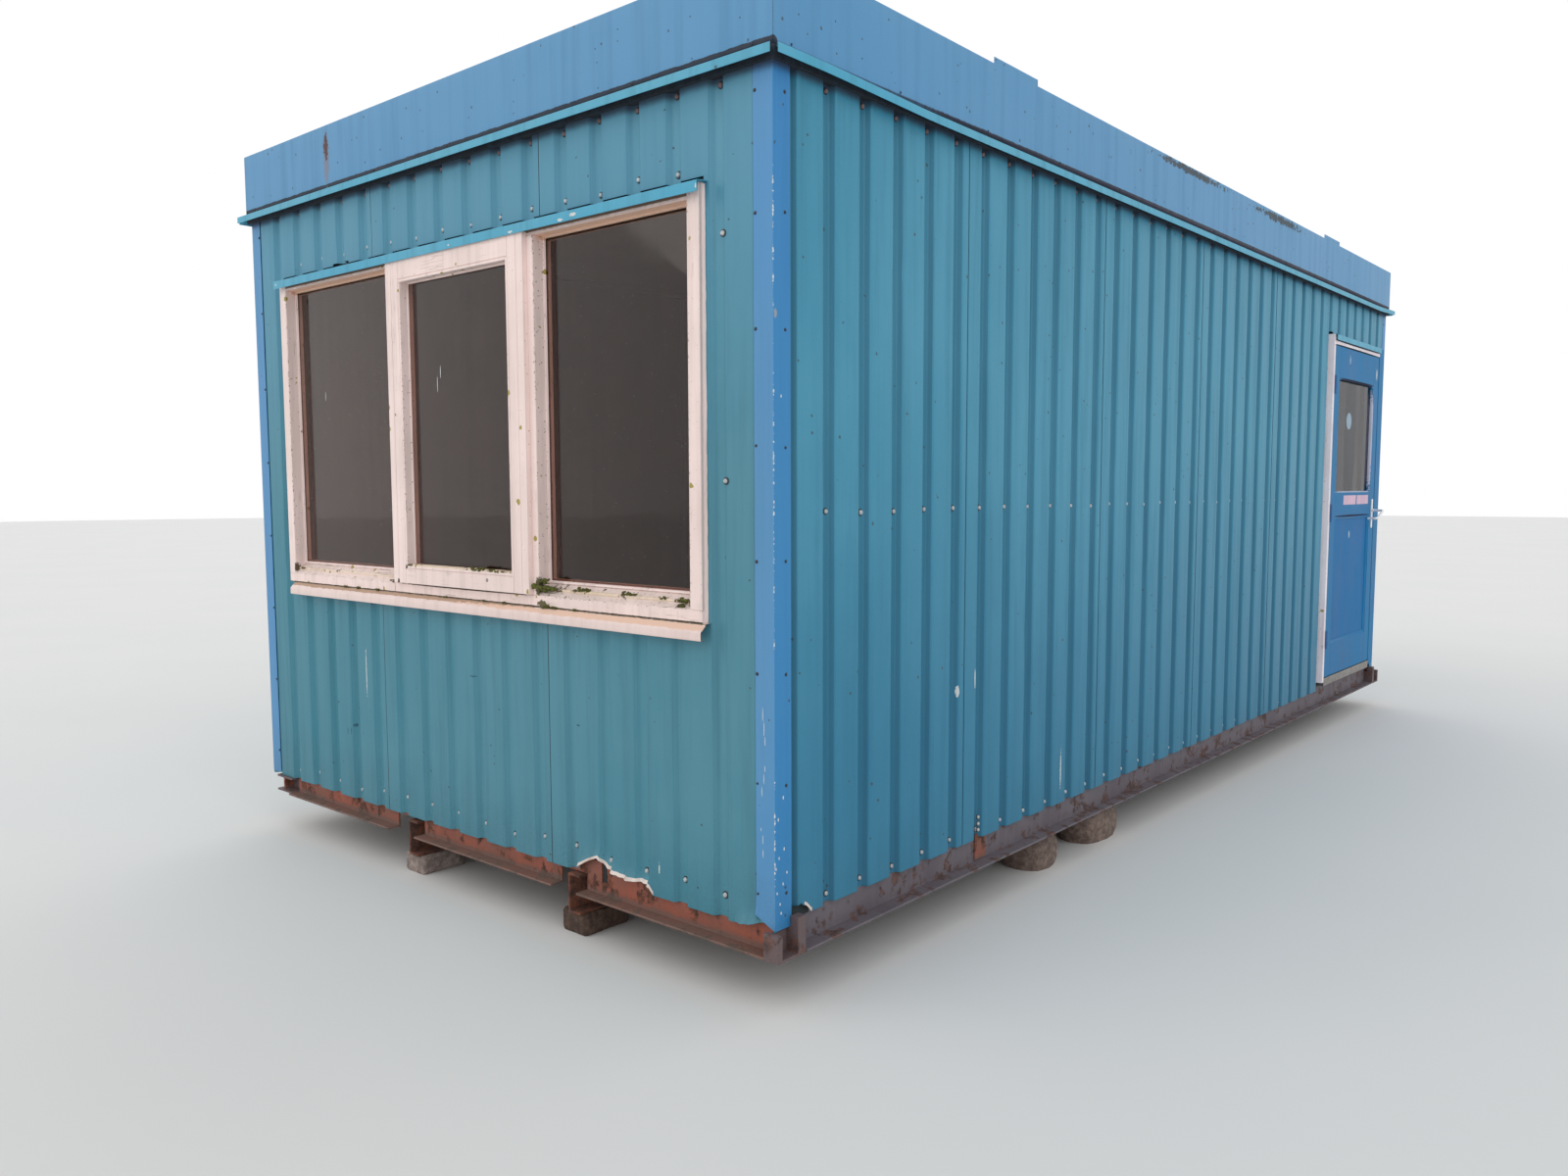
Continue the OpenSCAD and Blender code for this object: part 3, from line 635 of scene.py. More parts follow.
@cache
def arris_group() -> bpy.types.NodeTree:
    """Makes the effect: broken wear along a straight edge, given by a place on it and the directions across it.

    Returns:
        The effect's node group.
    """
    inputs = {"Edge": ZERO, "Across": (1.0, 1.0, 0.0), "Width": 0.006, "Broken": 0.5, "Grain": 46.0}
    e = Effect("Arris wear", inputs, "Mask")
    flat = e.vector("MULTIPLY", e.vector("SUBTRACT", e.place, e["Edge"]), e["Across"])
    near = e.ramp(e.vector("LENGTH", flat), 0.0, e["Width"], 1.0, 0.0)
    patches = e.ramp(e.noise(e.place, e["Grain"], 6.0, 0.72), e["Broken"], 0.72)
    stretches = e.ramp(e.noise(e.place, 2.6, 2.0), 0.36, 0.5)
    return e.puts(Mask=e.ramp(e.times(near, e.times(patches, stretches)), 0.12, 0.2))


@cache
def height_group() -> bpy.types.NodeTree:
    """Makes the effect: a ragged mask between the height where it is full and the height where it is clear.

    Returns:
        The effect's node group.
    """
    e = Effect("Height band", {"Full": 0.2, "Clear": 0.6, "Ragged": 0.1}, "Mask")
    up = e.add("ShaderNodeSeparateXYZ", {0: e.place}).outputs["Z"]
    rough = e.minus(e.noise(e.place, 9.0, 5.0, 0.6), 0.5)
    return e.puts(Mask=e.ramp(e.plus(up, e.times(rough, e["Ragged"])), e["Full"], e["Clear"], 1.0, 0.0))


@cache
def flake_group() -> bpy.types.NodeTree:
    """Makes the effect: where paint has flaked off and the rim of what is left.

    Returns:
        The effect's node group.
    """
    e = Effect("Flaking", {"Scale": 26.0, "Cover": 0.3}, "Gone", "Rim")
    patches = e.noise(e.place, e["Scale"], 7.0, 0.68, 0.3)
    both = e.plus(patches, e.times(e.minus(e.noise(e.place, 3.1, 3.0), 0.5), 0.5))
    limit = e.minus(0.86, e.times(e["Cover"], 0.5))
    gone = e.ramp(both, limit, e.plus(limit, 0.012))
    rim = e.math("SUBTRACT", e.ramp(both, e.minus(limit, 0.03), limit), gone, clamp=True)
    return e.puts(Gone=gone, Rim=rim)


@cache
def grain_group() -> bpy.types.NodeTree:
    """Makes the effect: timber grain along the way that Stretch makes small, with its cracks.

    Returns:
        The effect's node group.
    """
    e = Effect("Grain", {"Stretch": (1.0, 1.0, 0.04), "Scale": 120.0}, "Grain", "Cracks")
    vector = e.vector("MULTIPLY", e.place, e["Stretch"])
    fibres = e.noise(vector, e["Scale"], 4.0, 0.6, 0.4)
    apart = e.math("ABSOLUTE", e.minus(e.noise(vector, e.times(e["Scale"], 0.6), 2.0, 0.4, 0.2), 0.5))
    some = e.ramp(e.noise(e.place, 7.0, 3.0), 0.5, 0.62)
    return e.puts(Grain=fibres, Cracks=e.times(e.ramp(apart, 0.004, 0.016, 1.0, 0.0), some))


@cache
def rust_group() -> bpy.types.NodeTree:
    """Makes the effect: the colour, spread and scale of rust.

    Returns:
        The effect's node group.
    """
    inputs = {"Scale": 14.0, "Dark": rgb(58, 40, 36), "Bright": rgb(132, 72, 48), "Cover": 0.5}
    e = Effect("Rust", inputs, "Colour", "Mask", "Height")
    patches = e.noise(e.place, e["Scale"], 8.0, 0.66, 0.2)
    tone = e.ramp(e.noise(e.place, 38.0, 6.0, 0.7), 0.34, 0.66)
    low = e.math("MULTIPLY_ADD", e.minus(1.0, e["Cover"]), 0.5, 0.22)
    height = e.plus(e.times(e.noise(e.place, 240.0, 5.0, 0.7), 0.6), patches)
    colour = e.mix(tone, e["Dark"], e["Bright"])
    return e.puts(Colour=colour, Mask=e.ramp(patches, low, e.plus(low, 0.07)), Height=height)


@dataclass(frozen=True)
class Mark:
    """One mark on a surface.

    Args:
        middle: Its place.
        size: Half of its extent each way.
        colour: Its colour.
        ragged: How uneven its edge is.
        grain: How fine that unevenness is.
    """

    middle: Triple
    size: Triple
    colour: Colour
    ragged: float = 0.3
    grain: float = 90.0


class Surface(Sketch):
    """The Principled material of one finish, from its object coordinates to its output."""

    def __init__(self, name: str, colour: Colour, rough: float) -> None:
        """Starts the material.

        Args:
            name: Name of the material.
            colour: Its plain colour.
            rough: Its plain roughness.
        """
        self.material = bpy.data.materials.new(name)
        self.material.use_nodes = True
        super().__init__(self.material.node_tree)
        self.tree.nodes.clear()
        self.place = self.add("ShaderNodeTexCoord", {}).outputs["Object"]
        self.colour: Value = colour
        self.rough: Value = rough
        self.height: Value | None = None

    def effect(self, group: bpy.types.NodeTree, **inputs: Value) -> bpy.types.NodeOutputs:
        """Places an effect and returns its outputs. Underscores in names stand for spaces."""
        named = {name.replace("_", " "): value for name, value in inputs.items()}
        return self.add("ShaderNodeGroup", {"Vector": self.place, **named}, node_tree=group).outputs

    def weather(self, patch: float = 1.2, run: float = 22.0) -> tuple[Value, ...]:
        """Returns soft patches, runs down the face and a fine grain."""
        outputs = self.effect(weather_group(), Patch_Scale=patch, Run_Scale=run)
        return tuple(outputs[name] for name in ("Patches", "Runs", "Fine"))

    def specks(self, scale: float, cover: float, size: float) -> Value:
        """Returns a mask of scattered spots."""
        return self.effect(speck_group(), Scale=scale, Cover=cover, Size=size)["Mask"]

    def band(self, full: float, clear: float, ragged: float) -> Value:
        """Returns a mask that is full at one height and clear at another."""
        return self.effect(height_group(), Full=full, Clear=clear, Ragged=ragged)["Mask"]

    def wear(self, edge: Triple, across: Triple, width: float, broken: float, grain: float) -> Value:
        """Returns a mask of broken wear along an edge."""
        inputs = {"Edge": edge, "Across": across, "Width": width, "Broken": broken, "Grain": grain}
        return self.effect(arris_group(), **inputs)["Mask"]

    def tint(self, mask: Value, colour: Value, share: Value = 1.0) -> None:
        """Mixes a share of a colour over what is there, where a mask is set."""
        self.colour = self.mix(mask if share == 1.0 else self.times(mask, share), self.colour, colour)

    def coarsen(self, mask: Value, amount: float) -> None:
        """Adds roughness where a mask is set."""
        self.rough = self.math("ADD", self.rough, self.times(mask, amount), clamp=True)

    def raise_by(self, mask: Value, amount: float) -> None:
        """Adds to the height that the bump reads."""
        step = self.times(mask, amount)
        self.height = step if self.height is None else self.plus(self.height, step)

    def marks(self, marks: Iterable[Mark]) -> None:
        """Adds single marks.

        Args:
            marks: The marks.
        """
        for mark in marks:
            inputs = {"Middle": mark.middle, "Size": mark.size, "Ragged": mark.ragged, "Grain": mark.grain}
            mask = self.effect(mark_group(), **inputs)["Mask"]
            self.tint(mask, mark.colour)
            self.coarsen(mask, 0.15)

    def shader(self, bump: float, **constants: float) -> bpy.types.NodeSocket:
        """Adds the shader.

        Args:
            bump: Distance of the bump.
            **constants: Plain values of the shader, by input with underscores for spaces.

        Returns:
            The output of the shader.
        """
        inputs: dict[str, Value] = {"Base Color": self.colour, "Roughness": self.rough}
        if self.height is not None:
            inputs["Normal"] = self.add("ShaderNodeBump", {"Height": self.height, "Distance": bump}).outputs[0]
        inputs.update({name.replace("_", " "): value for name, value in constants.items()})
        return self.add("ShaderNodeBsdfPrincipled", inputs).outputs[0]

    def shown(self, shader: bpy.types.NodeSocket) -> bpy.types.Material:
        """Returns the material with a shader on its output."""
        self.add("ShaderNodeOutputMaterial", {"Surface": shader})
        return self.material

    def done(self, bump: float, **constants: float) -> bpy.types.Material:
        """Returns the material with its Principled shader."""
        return self.shown(self.shader(bump, **constants))


# --------------------------------------------------------------------------
# Finishes
# --------------------------------------------------------------------------


@dataclass(frozen=True)
class Band:
    """A tone between two heights.

    Args:
        colour: Its colour.
        full: Height where it is full.
        clear: Height where it ends.
        share: How strong it is.
        ragged: How uneven its edge is.
    """

    colour: Colour
    full: float
    clear: float
    share: float
    ragged: float = 0.4


@dataclass(frozen=True)
class SteelPaint:
    """Weathered paint on sheet steel.

    Args:
        name: Name of the material.
        paint: Colour of the paint.
        faded: Colour where it has chalked.
        grime: Colour of the dirt on it.
        fade: Share of the faded colour in its patches.
        runs: Share of dirt in the runs down the face.
        foot: Height up to which dirt has splashed, or 0 for none.
        specks: Share of small spots.
        gloss: Roughness of the clean paint.
        marks: Single marks.
        tone: Change of the colour with height, if any.
        arris: Upright edge with broken wear, if any.
        shadow: Painted shade below the roof edge, for the walls and trims, and along the foot of the fascias, if any.
    """

    name: str
    paint: Colour
    faded: Colour
    grime: Colour
    fade: float = 0.6
    runs: float = 0.25
    foot: float = 0.55
    specks: float = 0.015
    gloss: float = 0.42
    marks: tuple[Mark, ...] = ()
    tone: Band | None = None
    arris: Triple | None = None
    shadow: Band | None = None

    def make(self) -> bpy.types.Material:
        """Makes the material.

        Returns:
            The finished material.
        """
        s = Surface(self.name, self.paint, self.gloss)
        patches, runs, fine = s.weather()
        s.tint(patches, self.faded, self.fade)
        s.tint(s.ramp(fine, 0.35, 0.75, 0.0, 0.12), self.faded)
        s.tint(runs, self.grime, self.runs)
        if self.tone:
            s.tint(s.band(self.tone.full, self.tone.clear, self.tone.ragged), self.tone.colour, self.tone.share)
        if self.foot:
            s.tint(s.band(0.1, self.foot, 0.3), self.grime, s.ramp(fine, 0.3, 0.7, 0.1, 0.5))
        s.coarsen(patches, 0.12)
        s.coarsen(runs, 0.1)
        s.raise_by(fine, 0.35)
        specks = s.specks(55.0, self.specks, 0.32)
        s.tint(specks, rgb(52, 58, 58), 0.75)
        s.raise_by(specks, -0.5)
        if self.arris:
            wear = s.wear(self.arris, (1.0, 1.0, 0.0), 0.0046, 0.45, 75.0)
            s.tint(wear, rgb(226, 228, 224))
            s.raise_by(wear, -0.6)
        # Painted shade: a dark band between two heights, for the shade below the roof edge and at the foot of the
        # fascias.
        if self.shadow:
            dark = s.band(self.shadow.full, self.shadow.clear, self.shadow.ragged)
            s.tint(dark, self.shadow.colour, self.shadow.share)
            s.coarsen(dark, 0.3)
        s.marks(self.marks)
        return s.done(0.0006)


@dataclass(frozen=True)
class TimberPaint:
    """Old paint on timber, flaked to the wood in places.

    Args:
        name: Name of the material.
        paint: Colour of the paint.
        faded: Colour of its dull patches.
        wood: Colour of the bare wood.
        stretch: Small along the grain.
        cover: Share of flaked paint.
        specks: Share of dark spots.
        lichen: Share of yellow spots.
        cracks: Share of cracks along the grain.
        rot: Places of edges with rotten spots along them.
        across: Directions across those edges.
        shine: How strongly it mirrors.
        marks: Single marks.
    """

    name: str
    paint: Colour
    faded: Colour
    wood: Colour = rgb(118, 104, 92)
    stretch: Triple = (1.0, 1.0, 0.05)
    cover: float = 0.3
    specks: float = 0.3
    lichen: float = 0.04
    cracks: float = 0.5
    rot: tuple[Triple, ...] = ()
    across: Triple = (1.0, 1.0, 0.0)
    shine: float = 0.5
    marks: tuple[Mark, ...] = ()

    def make(self) -> bpy.types.Material:
        """Makes the material.

        Returns:
            The finished material.
        """
        s = Surface(self.name, self.paint, 0.48)
        patches, runs, fine = s.weather(3.0, 30.0)
        timber = s.effect(grain_group(), Stretch=self.stretch)
        flakes = s.effect(flake_group(), Cover=self.cover)
        grain, cracks, gone = timber["Grain"], timber["Cracks"], flakes["Gone"]
        s.tint(patches, self.faded)
        s.tint(runs, self.wood, 0.18)
        s.tint(flakes["Rim"], rgb(150, 140, 128), 0.35)
        s.tint(gone, s.mix(grain, rgb(74, 62, 54), self.wood))
        s.tint(cracks, rgb(96, 84, 74), self.cracks)
        s.tint(s.specks(120.0, self.specks, 0.3), rgb(86, 80, 66), 0.8)
        s.tint(s.specks(46.0, self.lichen, 0.5), rgb(168, 152, 74))
        s.coarsen(gone, 0.35)
        s.coarsen(patches, 0.1)
        for mask, amount in ((gone, -1.0), (cracks, -0.8), (grain, 0.25), (fine, 0.25)):
            s.raise_by(mask, amount)
        for edge in self.rot:
            holes = s.wear(edge, self.across, 0.009, 0.52, 110.0)
            s.tint(holes, rgb(96, 84, 62), 0.72)
            s.raise_by(holes, -1.4)
        s.marks(self.marks)
        return s.done(0.0009, Specular_IOR_Level=self.shine)


@dataclass(frozen=True)
class RustySteel:
    """Rolled steel with the rest of its primer and a rusty skin.

    Args:
        name: Name of the material.
        primer: Colour of the primer or old paint.
        dust: Colour of the dirt that lies on it.
        dark: Darkest rust.
        bright: Brightest rust.
        cover: Share of rust.
        lip: Dirt along its foot, if any.
    """

    name: str
    primer: Colour
    dust: Colour
    dark: Colour = rgb(58, 42, 38)
    bright: Colour = rgb(128, 76, 54)
    cover: float = 0.55
    lip: Band | None = None

    def make(self) -> bpy.types.Material:
        """Makes the material.

        Returns:
            The finished material.
        """
        s = Surface(self.name, self.primer, 0.62)
        rust = s.effect(rust_group(), Dark=self.dark, Bright=self.bright, Cover=self.cover)
        patches, runs, fine = s.weather(5.0, 50.0)
        s.tint(patches, self.dust, 0.5)
        s.tint(rust["Mask"], rust["Colour"])
        s.tint(runs, self.dust, 0.35)
        if self.lip:
            s.tint(s.band(self.lip.full, self.lip.clear, self.lip.ragged), self.lip.colour, self.lip.share)
        s.coarsen(rust["Mask"], 0.28)
        s.raise_by(rust["Height"], 1.0)
        s.raise_by(fine, 0.5)
        return s.done(0.0022)


@dataclass(frozen=True)
class Mineral:
    """Concrete or stone, with pores, stains and dirt.

    Args:
        name: Name of the material.
        pale: Colour of its pale places.
        deep: Colour of its dark places.
        stain: Colour of its stains.
        pore: How fine its pores are.
    """

    name: str
    pale: Colour
    deep: Colour
    stain: Colour
    pore: float = 130.0

    def make(self) -> bpy.types.Material:
        """Makes the material.

        Returns:
            The finished material.
        """
        s = Surface(self.name, self.deep, 0.86)
        patches, runs, _ = s.weather(9.0, 70.0)
        pores = s.specks(self.pore, 0.35, 0.4)
        lumps = s.noise(s.place, 42.0, 8.0, 0.7)
        s.tint(s.ramp(lumps, 0.36, 0.64), self.pale)
        s.tint(patches, self.stain, 0.5)
        s.tint(runs, self.deep, 0.4)
        s.tint(pores, self.deep, 0.7)
        s.raise_by(lumps, 1.0)
        s.raise_by(pores, -0.6)
        s.coarsen(pores, 0.1)
        return s.done(0.004)


@dataclass(frozen=True)
class Board:
    """Lining boards, plywood, rough timber or plain labels.

    Args:
        name: Name of the material.
        face: Main colour.
        shade: Colour of its darker places.
        stretch: Small along its grain.
        grain: Share of the grain in its colour.
        gloss: Roughness.
    """

    name: str
    face: Colour
    shade: Colour
    stretch: Triple = (1.0, 1.0, 0.05)
    grain: float = 0.2
    gloss: float = 0.6

    def make(self) -> bpy.types.Material:
        """Makes the material.

        Returns:
            The finished material.
        """
        s = Surface(self.name, self.face, self.gloss)
        patches, runs, fine = s.weather(1.6, 14.0)
        grain = s.effect(grain_group(), Stretch=self.stretch, Scale=90.0)["Grain"]
        specks = s.specks(24.0, 0.1, 0.2)
        for mask, share in ((patches, 0.45), (grain, self.grain), (runs, 0.15), (specks, 0.6)):
            s.tint(mask, self.shade, share)
        s.coarsen(patches, 0.1)
        s.raise_by(grain, 0.6)
        s.raise_by(fine, 0.4)
        return s.done(0.0006)


@dataclass(frozen=True)
class BrightMetal:
    """Plain metal of screws and door furniture, dulled in places.

    Args:
        name: Name of the material.
        metal: Colour of the clean metal.
        dull: Colour of its dull places.
        gloss: Roughness of the clean metal.
        cover: Share of dull places.
        metallic: How much it is a metal.
    """

    name: str
    metal: Colour
    dull: Colour
    gloss: float = 0.24
    cover: float = 0.4
    metallic: float = 1.0

    def make(self) -> bpy.types.Material:
        """Makes the material.

        Returns:
            The finished material.
        """
        s = Surface(self.name, self.metal, self.gloss)
        patches, runs, fine = s.weather(40.0, 300.0)
        specks = s.specks(380.0, self.cover, 0.45)
        s.tint(patches, self.dull, self.cover)
        s.tint(specks, self.dull, 0.6)
        s.coarsen(runs, 0.12)
        s.coarsen(specks, 0.25)
        s.raise_by(fine, 0.4)
        return s.done(0.0002, Metallic=self.metallic)


@dataclass(frozen=True)
class Glass:
    """Window glass with a film of dust. It lets the lamps through.

    Args:
        name: Name of the material.
        tint: Colour of the glass.
        bend: Index of refraction.
        glass_bands: Darker or paler upright bands on it.
    """

    name: str
    tint: Colour
    bend: float
    glass_bands: tuple[Mark, ...] = ()

    def make(self) -> bpy.types.Material:
        """Makes the material.

        Returns:
            The finished material.
        """
        s = Surface(self.name, self.tint, 0.015)
        patches, runs, _ = s.weather(2.6, 18.0)
        specks = s.specks(70.0, 0.12, 0.16)
        s.tint(runs, rgb(186, 184, 176), 0.2)
        s.tint(patches, rgb(200, 200, 194), 0.25)
        s.tint(specks, rgb(160, 156, 146))
        s.coarsen(patches, 0.05)
        s.coarsen(specks, 0.4)
        s.marks(self.glass_bands)
        s.raise_by(patches, 0.4)
        glass = s.shader(0.0004, Transmission_Weight=1.0, IOR=self.bend)
        through = s.add("ShaderNodeBsdfTransparent", {"Color": self.tint}).outputs[0]
        shadow = s.add("ShaderNodeLightPath", {}).outputs["Is Shadow Ray"]
        return s.shown(s.add("ShaderNodeMixShader", {0: shadow, 1: glass, 2: through}).outputs[0])


@dataclass(frozen=True)
class Growth:
    """Moss.

    Args:
        name: Name of the material.
        fresh: Colour of its tips.
        deep: Colour between them.
    """

    name: str
    fresh: Colour = rgb(130, 140, 54)
    deep: Colour = rgb(58, 60, 30)

    def make(self) -> bpy.types.Material:
        """Makes the material.

        Returns:
            The finished material.
        """
        s = Surface(self.name, self.deep, 0.9)
        patches = s.weather(30.0, 200.0)[0]
        tufts = s.noise(s.place, 420.0, 5.0, 0.75)
        s.tint(s.ramp(tufts, 0.4, 0.62), self.fresh)
        s.tint(patches, rgb(96, 78, 46), 0.5)
        s.raise_by(tufts, 1.0)
        s.coarsen(tufts, 0.05)
        return s.done(0.004)


Look = tuple[Colour, float, float]
Place = tuple[float, float, float, float]


def on_end(y: float, deep: float, look: Look, *places: Place) -> tuple[Mark, ...]:
    """Returns like marks in a plane that faces the window end, by across, up and half of their width and height."""
    return tuple(Mark((x, y, z), (wide, deep, high), *look) for x, z, wide, high in places)


def on_side(x: float, deep: float, look: Look, *places: Place) -> tuple[Mark, ...]:
    """Returns like marks in a plane that faces the door side, by along, up and half of their length and height."""
    return tuple(Mark((x, y, z), (deep, long, high), *look) for y, z, long, high in places)


PALE_CHIP, SCRAPE = rgb(214, 218, 214), rgb(38, 86, 104)
ROTTEN, FASTENER = rgb(84, 72, 54), rgb(46, 60, 70)
WHOLE = 8.0
SILL_GRAIN, LONG_GRAIN = (0.05, 1.0, 1.0), (1.0, 0.05, 1.0)
ARRIS = (1.4755, -3.1365, 0.0)
# Painted shade: a dark band on the sheets and trims just below the drip flashings, where the roof edge shades them.
EAVES_SHADE = Band(rgb(46, 42, 62), 2.640, 2.612, 0.8, 0.02)
# Painted shade: a dark line along the foot of the fascias, the shade in the gap above the drip flashings.
FASCIA_GAP_SHADE = Band(rgb(34, 44, 62), 2.683, 2.689, 0.8, 0.004)
END_MARKS = (
    *on_end(-3.135, 0.03, (PALE_CHIP, 0.5, 90.0), (-0.704, 0.765, 0.0028, 0.100), (0.994, 0.318, 0.0026, 0.018)),
    *on_end(
        -3.135, 0.03, (SCRAPE, 0.5, 90.0),
        (-0.936, 0.615, 0.012, 0.004), (-0.865, 0.502, 0.003, 0.014), (-0.840, 0.508, 0.003, 0.018),
        (-0.816, 0.530, 0.009, 0.009), (0.616, 0.720, 0.011, 0.003), (0.026, 0.822, 0.015, 0.003),
    ),
)
SIDE_MARKS = (
    *on_side(1.474, 0.03, (PALE_CHIP, 0.4, 90.0), (-2.174, 0.8, 0.0055, 0.020), (-2.066, 0.83, 0.004, 0.032)),
    *on_side(1.474, 0.03, (PALE_CHIP, 0.5, 90.0), (-1.415, 0.39, 0.004, 0.09)),
)
TRIM_SCRATCHES = (
    (1.4315, 0.858, 0.020), (1.4360, 0.818, 0.024), (1.4395, 0.784, 0.014), (1.4385, 0.704, 0.010),
    (1.4345, 0.674, 0.017), (1.4270, 0.636, 0.016), (1.4235, 0.526, 0.006), (1.4300, 0.496, 0.014),
    (1.4305, 0.456, 0.012),
)
TRIM_CHIPS = (
    (-3.119, 0.447), (-3.132, 0.419), (-3.085, 0.398), (-3.102, 0.368), (-3.128, 0.346), (-3.115, 0.311),
    (-3.111, 0.284), (-3.097, 0.470), (-3.105, 1.751), (-3.100, 0.620), (-3.122, 0.560),
)
FRONT_DOTS = (
    (0.365, 2.827), (0.362, 2.760), (0.361, 2.7225), (0.771, 2.830), (0.779, 2.788), (0.782, 2.712),
    (0.8745, 2.862), (0.874, 2.828), (1.180, 2.821), (1.186, 2.705), (1.371, 2.770), (-1.3185, 2.727),
    (-0.172, 2.769), (0.1095, 2.7605),
)
SIDE_DOTS = ((-2.881, 2.808), (-2.876, 2.722), (-2.756, 2.740), (-2.756, 2.795))


class Finish(Enum):
    """Every finish of the cabin."""

    # Painted light: the ends and the long sides carry one teal paint, coloured apart for the light on each face.
    END_TEAL = SteelPaint(
        "teal_paint_end", rgb(56, 130, 149), rgb(88, 144, 161), rgb(50, 90, 104),
        tone=Band(rgb(84, 150, 178), 2.5, 1.3, 0.7), shadow=EAVES_SHADE, marks=END_MARKS,
    )
    # Painted light: the end's valleys get a lighter copy of its paint against their shade.
    END_VALLEY = SteelPaint(
        "teal_paint_end_valley", rgb(66, 140, 158), rgb(98, 153, 170), rgb(58, 98, 112),
        tone=Band(rgb(96, 160, 186), 2.5, 1.3, 0.7), shadow=EAVES_SHADE, marks=END_MARKS,
    )
    SIDE_TEAL = SteelPaint(
        "teal_paint_side", rgb(46, 138, 168), rgb(82, 157, 184), rgb(40, 98, 120),
        tone=Band(rgb(14, 100, 138), 0.4, 1.9, 0.5), shadow=EAVES_SHADE, marks=SIDE_MARKS,
    )
    # Painted shade: the side's valleys get a darker copy of its paint.
    SIDE_VALLEY = SteelPaint(
        "teal_paint_side_valley", rgb(38, 122, 150), rgb(68, 138, 164), rgb(36, 86, 108),
        tone=Band(rgb(10, 94, 130), 0.4, 1.9, 0.5), shadow=EAVES_SHADE, marks=SIDE_MARKS,
    )
    PLAIN_TEAL = SteelPaint("teal_paint_far", rgb(54, 136, 158), rgb(92, 154, 172), rgb(46, 98, 116))
    TORN_EDGE = SteelPaint(
        "torn_edge", rgb(234, 222, 214), rgb(216, 188, 172), rgb(138, 104, 86), runs=0.5, foot=0.0, specks=0.06
    )
    TRIM_BLUE = SteelPaint(
        "blue_paint_trim", rgb(74, 142, 194), rgb(96, 152, 194), rgb(60, 92, 118),
        runs=0.12, specks=0.02, arris=ARRIS, shadow=EAVES_SHADE,
        marks=(
            *on_end(-3.1365, 0.02, (PALE_CHIP, 0.35, 200.0), *((x, z, 0.0012, high) for x, z, high in TRIM_SCRATCHES)),
            *on_end(-3.1365, 0.02, (PALE_CHIP, 0.5, 160.0), (1.401, 0.945, 0.0025, 0.010)),
        ),
    )
    # Painted light: the same blue paint as TRIM_BLUE, given a deeper colour on the legs facing the long sides for the
    # light there.
    TRIM_SIDE_BLUE = SteelPaint(
        "blue_paint_trim_side", rgb(34, 128, 190), rgb(58, 138, 190), rgb(48, 88, 118),
        runs=0.12, specks=0.02, arris=ARRIS, shadow=EAVES_SHADE,
        marks=(
            *on_side(1.4755, 0.02, (PALE_CHIP, 0.5, 160.0), *((y, z, 0.0026, 0.005) for y, z in TRIM_CHIPS)),
            *on_side(1.4755, 0.02, (rgb(150, 156, 160), 0.5, 160.0), (-3.128, 1.974, 0.006, 0.014)),
        ),
    )
    FASCIA_BLUE = SteelPaint(
        "blue_paint_fascia", rgb(76, 144, 190), rgb(100, 154, 194), rgb(66, 98, 124),
        runs=0.14, foot=0.0, specks=0.03, shadow=FASCIA_GAP_SHADE,
        marks=(
            # Painted shade: a wider dark band along the foot of the front fascia.
            *on_end(-3.151, 0.02, (rgb(30, 42, 58), 0.15, 30.0), (-0.026, 2.684, WHOLE, 0.015)),
            *on_end(-3.151, 0.03, (rgb(126, 136, 156), 0.5, 90.0), (-0.850, 2.800, 0.022, 0.100)),
            *on_end(-3.151, 0.03, (rgb(96, 74, 76), 0.7, 90.0), (-0.850, 2.842, 0.016, 0.050)),
            *on_end(-3.151, 0.02, (FASTENER, 0.2, 300.0), *((x, z, 0.0026, 0.0026) for x, z in FRONT_DOTS)),
            *on_side(1.49, 0.02, (FASTENER, 0.2, 300.0), *((y, z, 0.003, 0.003) for y, z in SIDE_DOTS)),
            # Painted shade: a dark line along the foot of the door side's fascia.
            *on_side(1.49, 0.03, (rgb(34, 38, 56), 0.06, 30.0), (0.9, 2.684, 3.7, 0.016)),
            *on_side(1.49, 0.03, (rgb(60, 74, 84), 0.9, 40.0), (-0.26, 2.905, 0.36, 0.016), (0.94, 2.895, 0.34, 0.02)),
        ),
    )
    TURQUOISE = SteelPaint(
        "turquoise_paint", rgb(60, 162, 195), rgb(106, 176, 198), rgb(60, 106, 120), foot=0.0, specks=0.03,
        marks=(
            *on_end(-3.181, 0.03, (PALE_CHIP, 0.4, 160.0), (0.013, 2.342, 0.007, 0.003), (0.367, 2.337, 0.012, 0.004)),
            *on_end(-3.181, 0.03, (PALE_CHIP, 0.5, 160.0), (0.688, 2.346, 0.016, 0.006), (0.625, 2.338, 0.013, 0.005)),
            *on_end(-3.181, 0.03, (PALE_CHIP, 0.4, 160.0), (1.225, 2.345, 0.003, 0.008)),
            *on_end(-3.181, 0.03, (PALE_CHIP, 0.4, 160.0), (-1.2445, 2.346, 0.006, 0.004)),
        ),
    )
